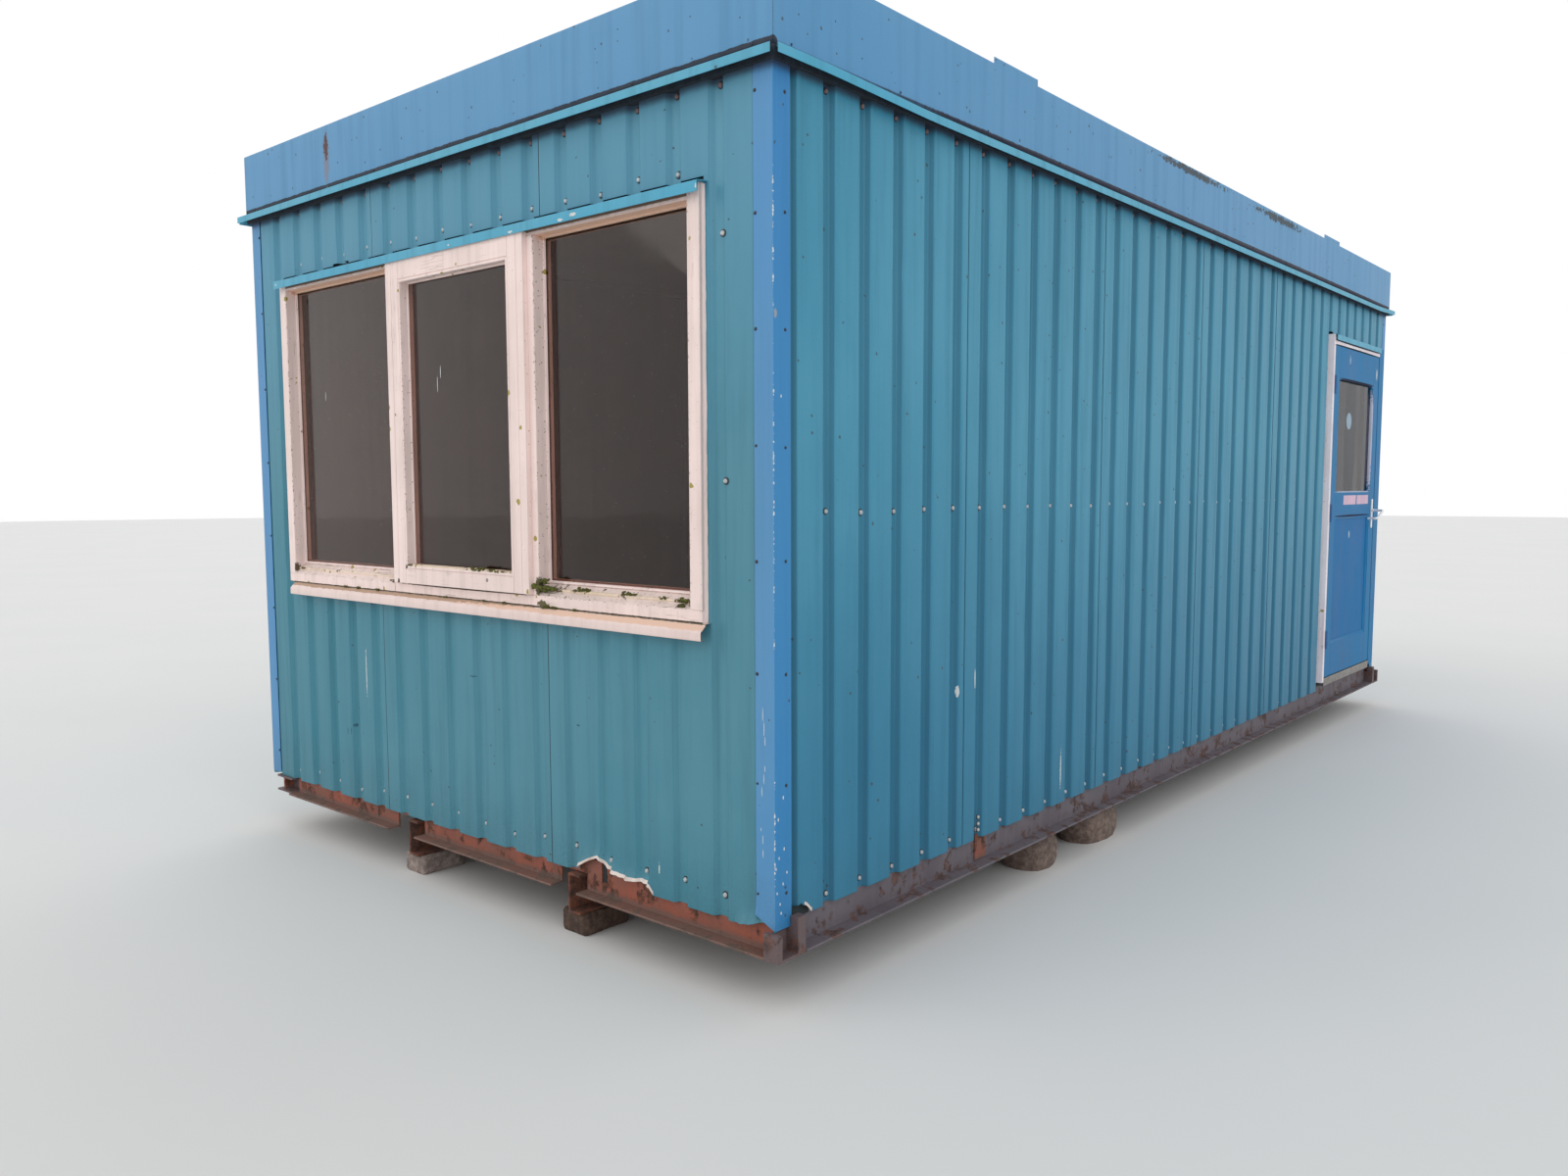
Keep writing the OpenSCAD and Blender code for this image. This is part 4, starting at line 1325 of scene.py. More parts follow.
    # Painted shade: a near-black paint for the shade in laps, gaps and behind torn edges.
    LAP_GAP = SteelPaint("lap_gap", rgb(34, 50, 54), rgb(44, 60, 62), rgb(26, 32, 34), gloss=0.7)
    WINDOW_WHITE = TimberPaint(
        "white_timber_upright", rgb(255, 232, 226), rgb(244, 222, 215), cover=0.2, specks=0.2, cracks=0.2,
        rot=(
            (-1.214, -3.155, 0.0), (-0.442, -3.155, 0.0), (-0.317, -3.173, 0.0),
            (0.325, -3.173, 0.0), (0.450, -3.155, 0.0), (1.162, -3.155, 0.0),
        ),
        marks=(
            # Painted shade: a greyer strip on the side face of the right jamb.
            *on_end(-3.149, 0.005, (rgb(214, 196, 188), 0.3, 60.0), (1.2125, 1.73, 0.003, 9.0)),
            # Painted shade: a warm peach strip along the head of the fixed lights.
            *on_end(-3.105, 0.03, (rgb(232, 196, 172), 0.1, 60.0), (-0.026, 2.316, WHOLE, 0.008)),
            *on_end(
                -3.173, 0.02, (ROTTEN, 0.5, 200.0),
                (-0.287, 1.2526, 0.006, 0.010), (-0.323, 1.205, 0.007, 0.010), (-0.380, 1.150, 0.008, 0.010),
            ),
            *on_end(-3.150, 0.02, (ROTTEN, 0.5, 200.0), (-1.216, 1.165, 0.007, 0.020)),
            *on_end(-3.150, 0.02, (rgb(84, 80, 48), 0.5, 160.0), (0.444, 1.172, 0.014, 0.034)),
        ),
    )
    WINDOW_WHITE_LONG = TimberPaint(
        "white_timber_long", rgb(255, 231, 224), rgb(242, 220, 213), stretch=SILL_GRAIN, cover=0.22, specks=0.2,
        cracks=0.25, rot=((0.0, -3.155, 1.141), (0.0, -3.173, 1.211)), across=(0.0, 1.0, 1.0),
        marks=(
            # Painted shade: the head rail darker under the head flashing.
            *on_end(-3.158, 0.012, (rgb(228, 202, 194), 0.2, 30.0), (-0.026, 2.30, WHOLE, 0.030)),
            # Painted shade: a warm peach strip on the head's underside.
            *on_end(-3.130, 0.021, (rgb(250, 206, 180), 0.1, 60.0), (-0.026, 2.322, WHOLE, 0.006)),
            # Painted shadow: a brown line cast by the head flashing's lip.
            *on_end(-3.155, 0.004, (rgb(132, 106, 90), 0.12, 60.0), (-0.026, 2.336, WHOLE, 0.007)),
            # Dirt and painted shade: a dark line on the frame under the sash's lower edge.
            *on_end(-3.155, 0.003, (rgb(74, 66, 54), 0.2, 60.0), (0.004, 1.140, 0.42, 0.004)),
            *on_end(-3.155, 0.004, (rgb(74, 68, 52), 0.4, 60.0), (-0.026, 1.104, WHOLE, 0.003)),
            *on_end(-3.173, 0.02, (rgb(150, 142, 136), 0.3, 120.0), (0.1836, 1.180, 0.008, 0.007)),
            *on_end(-3.155, 0.02, (rgb(110, 98, 88), 0.2, 120.0), (-0.436, 1.121, 0.0014, 0.020)),
            *on_end(-3.155, 0.02, (rgb(96, 88, 58), 0.6, 120.0), (0.470, 1.112, 0.030, 0.014)),
        ),
    )
    WORN_LEDGE = TimberPaint(
        "worn_ledge", rgb(246, 224, 216), rgb(218, 200, 192), rgb(150, 130, 112), SILL_GRAIN, 0.42, 0.5, 0.08, 0.8
    )
    WORN_BEAD = TimberPaint(
        "worn_bead", rgb(246, 224, 206), rgb(228, 206, 178), rgb(120, 104, 84), SILL_GRAIN, 0.5, 0.5, 0.1, 0.4
    )
    SILL_WHITE = SteelPaint(
        "white_paint_sill", rgb(244, 222, 216), rgb(232, 208, 200), rgb(150, 128, 112),
        runs=0.16, foot=0.0, specks=0.05,
        marks=(
            *on_end(-3.160, 0.05, (rgb(58, 62, 62), 0.05, 90.0), (1.2295, 1.080, 0.0016, 0.05)),
            *on_end(-3.157, 0.0035, (rgb(84, 78, 52), 0.4, 60.0), (-0.026, 1.1035, WHOLE, 0.004)),
            *on_end(-3.163, 0.010, (rgb(184, 152, 128), 0.5, 30.0), (-0.6, 1.097, 1.5, 0.009)),
            *on_end(-3.167, 0.012, (rgb(232, 196, 174), 0.35, 30.0), (0.9, 1.093, 0.9, 0.014)),
        ),
    )
    DOOR_BLUE = TimberPaint(
        "blue_timber_upright", rgb(20, 116, 170), rgb(36, 124, 174),
        cover=0.12, specks=0.12, lichen=0.0, cracks=0.3, shine=0.15,
        marks=(
            *on_side(1.492, 0.03, (PALE_CHIP, 0.4, 120.0), (2.900, 2.230, 0.012, 0.036)),
            *on_side(1.482, 0.03, (rgb(196, 200, 222), 0.35, 60.0), (2.834, 1.80, 0.012, 0.34)),
            *on_side(1.482, 0.03, (rgb(176, 186, 206), 0.3, 60.0), (2.455, 1.462, 0.42, 0.008)),
            # Painted shadow: a dark line at the head of the door's glass.
            *on_side(1.482, 0.03, (rgb(16, 30, 54), 0.1, 60.0), (2.455, 2.146, 0.40, 0.010)),
        ),
    )
    DOOR_PANEL = TimberPaint(
        "blue_timber_panel", rgb(4, 107, 168), rgb(20, 114, 170),
        cover=0.06, specks=0.1, lichen=0.0, cracks=0.15, shine=0.12,
        marks=on_side(1.480, 0.03, (PALE_CHIP, 0.4, 120.0), (2.443, 1.193, 0.010, 0.022)),
    )
    DOOR_BLUE_LONG = TimberPaint(
        "blue_timber_long", rgb(12, 114, 170), rgb(30, 122, 174), stretch=LONG_GRAIN,
        cover=0.12, specks=0.12, lichen=0.0, cracks=0.3, shine=0.15,
        marks=(
            *on_side(1.492, 0.03, (rgb(170, 196, 214), 0.4, 120.0), (2.285, 2.275, 0.010, 0.028)),
            # Painted shadow: a dark line at the head of the recessed panel.
            *on_side(1.486, 0.03, (rgb(14, 34, 70), 0.1, 60.0), (2.455, 1.312, 0.42, 0.007)),
            # Painted shadow: a dark line at the head of the glass.
            *on_side(1.492, 0.03, (rgb(20, 34, 60), 0.1, 60.0), (2.455, 2.154, 0.42, 0.004)),
        ),
    )
    DOOR_SIGN = TimberPaint(
        "worn_sign", rgb(222, 186, 208), rgb(206, 176, 196), rgb(150, 128, 150), cover=0.3, specks=0.3, lichen=0.0
    )
    DOOR_WHITE_POST = TimberPaint("white_timber_post", rgb(255, 246, 250), rgb(244, 230, 234), cover=0.16, specks=0.15)
    DOOR_WHITE = TimberPaint(
        "white_timber_door", rgb(255, 246, 250), rgb(244, 230, 234), stretch=LONG_GRAIN, cover=0.16, specks=0.15,
        # Painted shade: a dark line under the door's flashing and one in the gap between the head and the leaf.
        marks=on_side(1.494, 0.03, (rgb(16, 24, 40), 0.05, 60.0), (2.45, 2.374, 0.7, 0.009), (2.45, 2.343, 0.7, 0.007)),
    )
    OXIDE_END = RustySteel(
        "red_oxide_end", rgb(162, 86, 66), rgb(102, 80, 70), cover=0.42,
        lip=Band(rgb(104, 92, 84), 0.166, 0.186, 0.7, 0.03),
    )
    OXIDE_SIDE = RustySteel(
        "red_oxide_side", rgb(96, 88, 96), rgb(118, 112, 116), rgb(62, 50, 50), rgb(112, 80, 72), 0.4
    )
    OXIDE_STUB = RustySteel("red_oxide_stub", rgb(104, 86, 86), rgb(90, 78, 80), rgb(70, 58, 58), rgb(118, 84, 74), 0.4)
    SKID_RUST = RustySteel("rusty_skid", rgb(88, 68, 62), rgb(74, 66, 64), cover=0.7)
    CONCRETE = Mineral("concrete_block", rgb(186, 170, 162), rgb(112, 98, 92), rgb(134, 118, 110))
    # A darker concrete for the right-hand blocks.
    DARK_CONCRETE = Mineral("damp_concrete_block", rgb(104, 82, 70), rgb(58, 42, 34), rgb(74, 56, 46))
    STONE = Mineral("field_stone", rgb(142, 122, 112), rgb(90, 74, 66), rgb(112, 98, 90), 200.0)
    LINING = Board("lining_board", rgb(136, 104, 94), rgb(106, 82, 74), grain=0.12)
    # Painted shade: the white frame's parts behind the glass get this dark brown for the dim room's shade.
    REVEAL = Board("inner_reveal", rgb(96, 80, 74), rgb(72, 60, 56))
    CEILING = Board("ceiling_board", rgb(150, 138, 134), rgb(126, 114, 110), LONG_GRAIN, 0.1)
    DECK = Board("floor_board", rgb(96, 82, 74), rgb(66, 54, 46), (1.0, 0.04, 1.0), 0.6, 0.5)
    JOIST = Board("rough_timber", rgb(132, 106, 80), rgb(84, 64, 48), (0.04, 1.0, 1.0), 0.8, 0.8)
    DRIED_PAINT = Board("dried_paint", rgb(232, 232, 230), rgb(206, 206, 202), grain=0.1)
    DOOR_LABEL = Board("blank_label", rgb(154, 176, 192), rgb(140, 164, 182), grain=0.1)
    ROOF_PANEL = Mineral("roof_panel_skin", rgb(40, 54, 66), rgb(24, 32, 40), rgb(46, 46, 48), 260.0)
    ROOF = Mineral("roof_skin", rgb(122, 124, 124), rgb(74, 76, 76), rgb(96, 94, 86), 260.0)
    SCREW = BrightMetal("screw_head", rgb(198, 202, 204), rgb(124, 122, 116), 0.4, 0.4, 0.35)
    WASHER = BrightMetal("screw_washer", rgb(58, 62, 64), rgb(34, 36, 38), 0.6, 0.5, 0.3)
    RUSTY_WASHER = BrightMetal("rusty_washer", rgb(150, 124, 122), rgb(104, 80, 78), 0.7, 0.5, 0.1)
    SMALL_SCREW = BrightMetal("dark_screw", rgb(66, 72, 78), rgb(48, 44, 42), 0.5, 0.5, 0.5)
    STAINLESS = BrightMetal("stainless_steel", rgb(240, 240, 242), rgb(196, 196, 196), 0.3, 0.2, 0.3)
    HINGE = BrightMetal("hinge_paint", rgb(54, 116, 170), rgb(46, 96, 146), 0.5, 0.5, 0.1)
    STEP_STEEL = BrightMetal("step_steel", rgb(150, 148, 144), rgb(104, 86, 74), 0.36, 0.5)
    PANE = Glass("window_glass", rgb(230, 206, 196), 1.36)
    DOOR_PANE = Glass(
        "door_glass", rgb(132, 134, 150), 1.16,
        (
            # A darker and a paler upright band across the door's glass.
            *on_side(1.474, 0.02, (rgb(92, 102, 124), 0.08, 20.0), (2.40, 1.80, 0.13, 0.6)),
            *on_side(1.474, 0.02, (rgb(140, 128, 128), 0.08, 20.0), (2.65, 1.80, 0.06, 0.6)),
        ),
    )
    MOSS = Growth("moss")

    @property
    @cache
    def material(self) -> bpy.types.Material:
        """The material, made on first use."""
        return self.value.make()


# --------------------------------------------------------------------------
# The cabin's faces and their sheets
# --------------------------------------------------------------------------


@dataclass(frozen=True)
class Face:
    """One side of the cabin. Places on it are given as along, out from the ribs, and height.

    Args:
        name: Name of the side.
        corner: Where along is zero.
        along: Way along the face.
        length: Length over the ribs.
        foot: Lower edge of the sheets.
        valley: Middle of the first valley.
    """

    name: str
    corner: tuple[float, float]
    along: tuple[int, int]
    length: float
    foot: float
    valley: float

    @property
    def out(self) -> Vector:
        """Way out of the face."""
        return Vector((self.along[1], -self.along[0], 0.0))

    def at(self, along: float, out: float, up: float) -> Vector:
        """Returns a place on the face."""
        a, b = self.along
        return Vector((self.corner[0] + a * along + b * out, self.corner[1] + b * along - a * out, up))


LEFT, RIGHT, FRONT, REAR = -1.526, 1.474, -3.135, 3.135
WIDTH, LENGTH = RIGHT - LEFT, REAR - FRONT
WALL_TOP = 2.642
PITCH = 0.1714
FRONT_FACE = Face("front", (LEFT, FRONT), (1, 0), WIDTH, 0.225, 0.0431)
RIGHT_FACE = Face("right", (RIGHT, FRONT), (0, 1), LENGTH, 0.251, 0.077)
REAR_FACE = Face("rear", (RIGHT, REAR), (-1, 0), WIDTH, 0.225, 0.0431)
LEFT_FACE = Face("left", (LEFT, REAR), (0, -1), LENGTH, 0.251, 0.077)
FACES = (FRONT_FACE, RIGHT_FACE, REAR_FACE, LEFT_FACE)


@dataclass(frozen=True)
class Opening:
    """A hole in the sheets between two places along the face and two heights."""

    start: float
    end: float
    low: float
    high: float

    def holds(self, along: float, up: float) -> bool:
        """Returns whether a place on the face is in the hole."""
        return self.start < along < self.end and self.low < up < self.high


@dataclass(frozen=True)
class Tear:
    """A torn or bent stretch of a sheet's lower edge.

    Args:
        outline: Its edge as (along, height above the sheet's foot).
        curl: How far the edge is bent outward.
        bare: Whether the edge has lost its paint.
    """

    outline: tuple[tuple[float, float], ...]
    curl: float
    bare: bool

    def covers(self, along: float, margin: float = 0.0) -> bool:
        """Returns whether a place along the face is in the tear."""
        return self.outline[0][0] - margin <= along <= self.outline[-1][0] + margin


@dataclass
class Sheeting:
    """Ribbed steel sheets of one face, with their laps, dents and torn edges.

    Args:
        face: Face that they cover.
        finish: Finish of the ribs.
        valley_finish: Finish of the valleys, a lighter or darker copy of the ribs' paint as painted light and shade.
        start: First place along the face.
        end: Last place along the face, or 0 for its corner.
        openings: Holes for the window and the door.
        tears: Torn or bent stretches of the lower edge.
        dents: Number of dents.
        depth: Depth of a valley.
        mouth: Width of a valley at the ribs.
        floor: Width of a valley at its back.
        steel: Thickness of the steel.
        ribs_per_sheet: Ribs of one sheet.
        lap: How far a sheet goes under the next one.
        gap: Width of the painted shade line at a lap.
        seam_back: How far the seams are set back from the valleys.
        bend: Radius of the folds.
        column: Longest quad along the face.
        fine_column: Longest quad along the face at a tear.
        row: Tallest quad.
        edge_rows: Heights of the rows above the lower edge.
        curl_height: Height of the stretch that is bent outward.
        blend: Height over which the rows follow the lower edge.
        seed: Start of the chance that places the dents.
        bumps: The dents, as along, up, radius and depth.
    """

    face: Face
    finish: Finish
    valley_finish: Finish
    start: float = 0.0
    end: float = 0.0
    openings: tuple[Opening, ...] = ()
    tears: tuple[Tear, ...] = ()
    dents: int = 40
    depth: float = 0.020
    mouth: float = 0.058
    floor: float = 0.034
    steel: float = 0.001
    ribs_per_sheet: int = 6
    lap: float = 0.016
    gap: float = 0.003
    seam_back: float = 0.0775
    bend: float = 0.005
    column: float = 0.020
    fine_column: float = 0.007
    row: float = 0.055
    edge_rows: tuple[float, ...] = (0.005, 0.012, 0.024, 0.045, 0.08)
    curl_height: float = 0.045
    blend: float = 0.2
    seed: int = 1
    bumps: list[tuple[float, float, float, float]] = field(default_factory=list)

    def profile(self, start: float, end: float) -> Line:
        """Draws the outer face of one sheet.

        Args:
            start: Its first place along the face.
            end: Its last place along the face.

        Returns:
            Its line as (along, out).
        """
        corners: Line = [(start, self.out_at(start))]
        valley = self.face.valley
        while valley < self.face.length:
            for width, out in (
                (-self.mouth, 0.0), (-self.floor, -self.depth), (self.floor, -self.depth), (self.mouth, 0.0)
            ):
                along = valley + width / 2
                if start + 0.002 < along < end - 0.002:
                    corners.append((along, out))
            valley += PITCH
        corners.append((end, self.out_at(end)))
        fine = [tear for tear in self.tears if tear.bare or tear.curl]

        def column(along: float) -> float:
            """Returns the longest part at a place."""
            return self.fine_column if any(tear.covers(along, 0.02) for tear in fine) else self.column

        return spaced(rounded(corners, self.bend), column)

    def out_at(self, along: float) -> float:
        """Finds how far out the sheet is at a place along the face.

        Args:
            along: Place along the face.

        Returns:
            0 on a rib and less in a valley.
        """
        offset = abs((along - self.face.valley + PITCH / 2) % PITCH - PITCH / 2)
        share = (self.mouth / 2 - offset) / ((self.mouth - self.floor) / 2)
        return -self.depth * min(max(share, 0.0), 1.0)

    def lower_edge(self, along: float, foot: float) -> float:
        """Finds the height of the sheet's lower edge at a place.

        Args:
            along: Place along the face.
            foot: Height of the whole edge.

        Returns:
            The height of the edge.
        """
        for tear in self.tears:
            if tear.covers(along):
                return foot + max(0.0, point_at(tear.outline, along))
        return foot

    def curl(self, along: float, above: float) -> float:
        """Finds how far the lower edge is bent outward.

        Args:
            along: Place along the face.
            above: Height above the lower edge.

        Returns:
            The length outward.
        """
        for tear in self.tears:
            if tear.covers(along) and above < self.curl_height:
                ends = min(along - tear.outline[0][0], tear.outline[-1][0] - along)
                ragged = 0.7 + 0.5 * ripple((along, 0.0, 1.7), 45.0)
                return tear.curl * ragged * min(1.0, ends / 0.02) * (1 - above / self.curl_height) ** 2
        return 0.0

    def scatter(self) -> None:
        """Chooses where the dents are."""
        draw, foot = random.Random(self.seed), self.face.foot
        for _ in range(self.dents):
            along = draw.uniform(self.start + 0.15, self.end - 0.15)
            up = foot + (WALL_TOP - foot) * draw.random() ** 1.6
            self.bumps.append((along, up, draw.uniform(0.016, 0.045), -draw.uniform(0.0008, 0.0032)))

    def shift(self, along: float, up: float) -> float:
        """Finds how far the sheet is dented.

        Args:
            along: Place along the face.
            up: Height.

        Returns:
            The length outward, below 0 for a dent.
        """
        edge = min(along - self.start, self.end - along, 0.12) / 0.12
        wave = -0.0011 * hollow((along * 1.6, up * 0.9, self.seed * 7.3), 2.4) * max(edge, 0.0)
        for middle, level, radius, deep in self.bumps:
            apart = ((along - middle) ** 2 + ((up - level) * 0.7) ** 2) / radius**2
            if apart < 6.0:
                wave += deep * math.exp(-apart)
        return wave

    def levels(self, foot: float) -> list[float]:
        """Finds the heights of the rows of a sheet.

        Args:
            foot: Its lower edge.

        Returns:
            The heights.
        """
        fixed = {foot, WALL_TOP, *(foot + up for up in self.edge_rows)}
        fixed.update(edge for hole in self.openings for edge in (hole.low, hole.high))
        return [low for low, _ in spaced([(level, 0.0) for level in sorted(fixed)], self.row)]

    def build(self) -> None:
        """Makes the piece that stands for the sheets of this face."""
        self.end = self.end or self.face.length
        self.scatter()
        shape = Shape()
        self.add_sheets(shape, self.start, self.end, self.face.foot)
        self.finished(shape)

    def add_sheets(self, shape: Shape, start: float, end: float, foot: float) -> None:
        """Adds the sheets between two places.

        Args:
            shape: Where they go.
            start: First place along the face.
            end: Last place along the face.
            foot: Height of their lower edge.
        """
        first = self.face.valley - self.mouth / 2 - self.seam_back
        seams = [first + self.ribs_per_sheet * PITCH * index for index in range(20)]
        seams = [seam for seam in seams if start + 2 * PITCH < seam < end - PITCH]
        for low, high in zip([start, *seams], [*seams, end]):
            over = self.lap if high != end else 0.0
            self.add_sheet(shape, low, high + over, foot, high if over else None)

    def add_sheet(self, shape: Shape, start: float, end: float, foot: float, seam: float | None) -> None:
        """Adds one sheet.

        Args:
            shape: Where it goes.
            start: First place along the face.
            end: Last place along the face.
            foot: Height of its lower edge.
            seam: Place from which it lies under the next sheet, if any.
        """
        line = self.profile(start, end)
        cuts = [edge for hole in self.openings for edge in (hole.start, hole.end)]
        cuts += [seam - self.gap, seam - 0.0001] if seam else []
        line = sorted([*line, *((cut, self.out_at(cut)) for cut in cuts if start < cut < end)])
        levels, rows, blend = self.levels(foot), [], foot + self.blend
        for level in levels:
            row = []
            for along, out in line:
                edge = self.lower_edge(along, foot)
                up = edge + (level - foot) * (blend - edge) / (blend - foot) if level < blend else level
                under = 0.0 if seam is None else 0.0016 * min(max((along - seam + 0.012) / 0.01, 0.0), 1.0)
                free = 1 + out / self.depth
                away = out + free * self.shift(along, up) - under + self.curl(along, up - edge)
                row.append(self.face.at(along, away, up))
            rows.append(row)

        def kind(r: int, c: int) -> int | None:
            """Chooses the material slot of one quad.

            Args:
                r: Its row.
                c: Its column.

            Returns:
                Slot of the rib, the bare edge, the painted shade at the lap, or the valley, or None in a hole.
            """
            middle = (line[c][0] + line[c + 1][0]) / 2
            level = (levels[r] + levels[r + 1]) / 2
            if any(hole.holds(middle, level) for hole in self.openings):
                return None
            # Painted shade: the dark quads beside a seam stand for the shade in the lap.
            if seam and seam - self.gap < middle < seam:
                return 2
            if r < 2 and any(tear.bare and tear.covers(middle) for tear in self.tears):
                return 1
            return 3 if line[c][1] + line[c + 1][1] < -0.6 * self.depth else 0

        shape.grid(rows, kind)

    def finished(self, shape: Shape) -> None:
        """Makes the sheets a piece of steel with its thickness.

        Args:
            shape: The sheets.
        """
        name, finishes = self.face.name, (self.finish, Finish.TORN_EDGE, Finish.LAP_GAP, self.valley_finish)
        piece = build(name + "_sheets", shape, finishes, "teal_paint", name + "_cladding", sharp=60.0, closed=False)
        solid = piece.modifiers.new("steel", "SOLIDIFY")
        solid.thickness, solid.offset = self.steel, -1.0
        even_shading(piece)


@dataclass
class DoorSideSheeting(Sheeting):
    """Sheets of the door side, with the short ones over the door.

    Args:
        over_door: Lower edge of the short sheets.
        over_tears: Bent stretches of their lower edge.
    """

    over_door: float = 2.4055
    over_tears: tuple[Tear, ...] = ()

    def finished(self, shape: Shape) -> None:
        """Adds the short sheets and makes all of them a piece of steel.

        Args:
            shape: The long sheets.
        """
        self.tears = self.over_tears
        self.add_sheets(shape, self.end + 0.001, self.face.length - 0.002, self.over_door)
        super().finished(shape)


# --------------------------------------------------------------------------
# Edges of the walls and the roof
# --------------------------------------------------------------------------


@dataclass
class CornerAngles:
    """The four blue angles over the corners of the sheeting.

    Args:
        leg: Width of a leg.
        steel: Thickness of the steel.
        foot: Height of their lower ends.
        arris: Radius of the fold.
        cut: How much the near one is cut away at its foot.
        flap: How far that cut end is bent outward.
        flap_height: Height of that bent end.
        rows: Parts of their height.
    """

    leg: float = 0.070
    steel: float = 0.0015
    foot: float = 0.235
    arris: float = 0.004
    cut: float = 0.038
    flap: float = 0.006
    flap_height: float = 0.07
    rows: int = 48

    def build(self) -> None:
        """Makes the piece that stands for the corner trims."""
        s, shape = self.steel, Shape()
        outer = rounded([(self.leg, -s), (-s, -s), (-s, self.leg)], self.arris, 4)
        outline = thick(spaced(outer, 0.016), -s)
        corners = ((RIGHT, FRONT, -1, 1), (LEFT, FRONT, 1, 1), (RIGHT, REAR, -1, -1), (LEFT, REAR, 1, -1))
        for index, (x, y, sx, sy) in enumerate(corners):
            rings = []
            for step in range(self.rows + 1):
                ring = []
                for u, v in outline:
                    share = max(u, 0.0) / self.leg if index == 0 and v < 0.002 else 0.0
                    low = self.foot + self.cut * share
                    up = low + (WALL_TOP - low) * step / self.rows
                    push = 0.0007 * (ripple((u + index, v, up * 2.2), 6.0) - 0.4) * min(1.0, (WALL_TOP - up) * 8)
                    flap = self.flap * max(0.0, 1 - (up - low) / self.flap_height) ** 2 * share
                    ring.append((x + sx * (u + push * (v > 0.01)), y + sy * (v + push * (u > 0.01) - flap), up))
                rings.append(ring)
            shape.tube(rings)
        finishes = (Finish.TRIM_BLUE, Finish.TRIM_SIDE_BLUE)
        piece = build("corner_angles", shape, finishes, "blue_paint", "corner_trims", sharp=50.0)
        # Painted light: legs facing the long sides take the deeper copy of the trim paint.
        for polygon in piece.data.polygons:
            polygon.material_index = int(abs(polygon.normal.x) > 0.7)


@dataclass
class EdgeStrip:
    """A folded strip along one face, mitred at both corners.

    Args:
        face: Face that it goes along.
        line: Its fold as (out, up).
        steel: Thickness of the steel, below 0 to the right of the line.
        bend: Radius of its folds.
        gap: Width of the joint at a corner.
        wobble: How uneven it is.
        seed: Start of that unevenness.
        sag: How far its outer part hangs lower along the face.
        step: Longest part along the face.
    """

    face: Face
    line: Line
    steel: float
    bend: float
    gap: float
    wobble: float
    seed: int
    sag: float = 0.0
    step: float = 0.07

    def add_to(self, shape: Shape, cuts: Sequence[tuple[float, float]] = (), other: Line | None = None) -> None:
        """Adds the strip to a shape.

        Args:
            shape: Where it goes.
            cuts: Stretches along the face that use another fold.
            other: The fold of those stretches.
        """
        at = 0.0
        for start, end in cuts:
            self.add_span(shape, at, start, self.line)
            self.add_span(shape, start, end, other)
            at = end
        self.add_span(shape, at, self.face.length, self.line)

    def add_span(self, shape: Shape, start: float, end: float, line: Line) -> None:
        """Adds the strip between two places, mitred where they are the corners.

        Args:
            shape: Where it goes.
            start: First place along the face.
            end: Last place along the face.
            line: Its fold.
        """
        outline = thick(spaced(rounded(line, self.bend, 3), 0.05), self.steel)
        length, parts, rings = self.face.length, max(2, round((end - start) / self.step)), []
        for index in range(parts + 1):
            ring = []
            for out, up in outline:
                low = self.gap / 2 - out if start == 0.0 else start
                high = length + out - self.gap / 2 if end == length else end
                along = low + (high - low) * index / parts
                rest = max(min(1.0, along * 4, (length - along) * 4), 0.0)
                push = -self.wobble * hollow((along, up * 2.0, self.seed), 1.9) * rest
                drop = self.sag * min(1.0, max(0.0, along - 0.2) / 0.5, max(0.0, length - along) / 0.3)
                ring.append(self.face.at(along, out + push, up - drop * (out > 0.03)))
            rings.append(ring)
        shape.tube(rings)


@dataclass
class RoofEdge:
    """Fascias with their returns and bent tabs, and the drip flashings below them.

    Args:
        low: Lower edge of the fascias.
        high: Upper edge of the fascias.
        out: How far they stand out.
        back: End of their return over the roof.
        turn: Height of the lip at its end.
        fascia_steel: Thickness of their steel.
        tab: Height of the bent tabs.
        tabs: Where the tabs are on the door side.
        drip_out: How far the drip flashings stand out.
        drip_lip: Height of their lips.
        drip_fall: Fall of their tops.
        drip_steel: Thickness of their steel.
        drip_sag: How far the one on the door side hangs.
    """

    low: float = 2.678
    high: float = 2.924
    out: float = 0.016
    back: float = -0.024
    turn: float = 0.015
    fascia_steel: float = 0.002
    tab: float = 0.020
    tabs: tuple[tuple[float, float], ...] = ((1.121, 1.421), (4.817, 5.110))
    drip_out: float = 0.048
    drip_lip: float = 0.026
    drip_fall: float = 0.005
    drip_steel: float = 0.0015
    drip_sag: float = 0.011

    def build(self) -> None:
        """Makes the four fascias and the drip flashings."""
        line = [(self.out, self.low), (self.out, self.high), (self.back, self.high), (self.back, self.high - self.turn)]
        tab = [(self.out, self.low), (self.out, self.high + self.tab)]
        for face in FACES:
            name, shape = face.name + "_band", Shape()
            strip = EdgeStrip(face, line, self.fascia_steel, 0.004, 0.001, 0.0012, len(name))
            strip.add_to(shape, self.tabs if face is RIGHT_FACE else (), tab)
            build(name, shape, [Finish.FASCIA_BLUE], "blue_paint", face.name + "_fascia", sharp=50.0)
        lip, shape = WALL_TOP + self.drip_lip, Shape()
        root = lip + self.drip_fall
        line = [(self.out - self.fascia_steel, root), (self.out, root), (self.drip_out, lip), (self.drip_out, WALL_TOP)]
        for face in FACES:
            sag = self.drip_sag if face is RIGHT_FACE else 0.0
            EdgeStrip(face, line, -self.drip_steel, 0.003, 0.030, 0.0008, 4, sag).add_to(shape)
        build("drip_edges", shape, [Finish.TURQUOISE], "turquoise_paint", "drip_flashings", sharp=50.0)


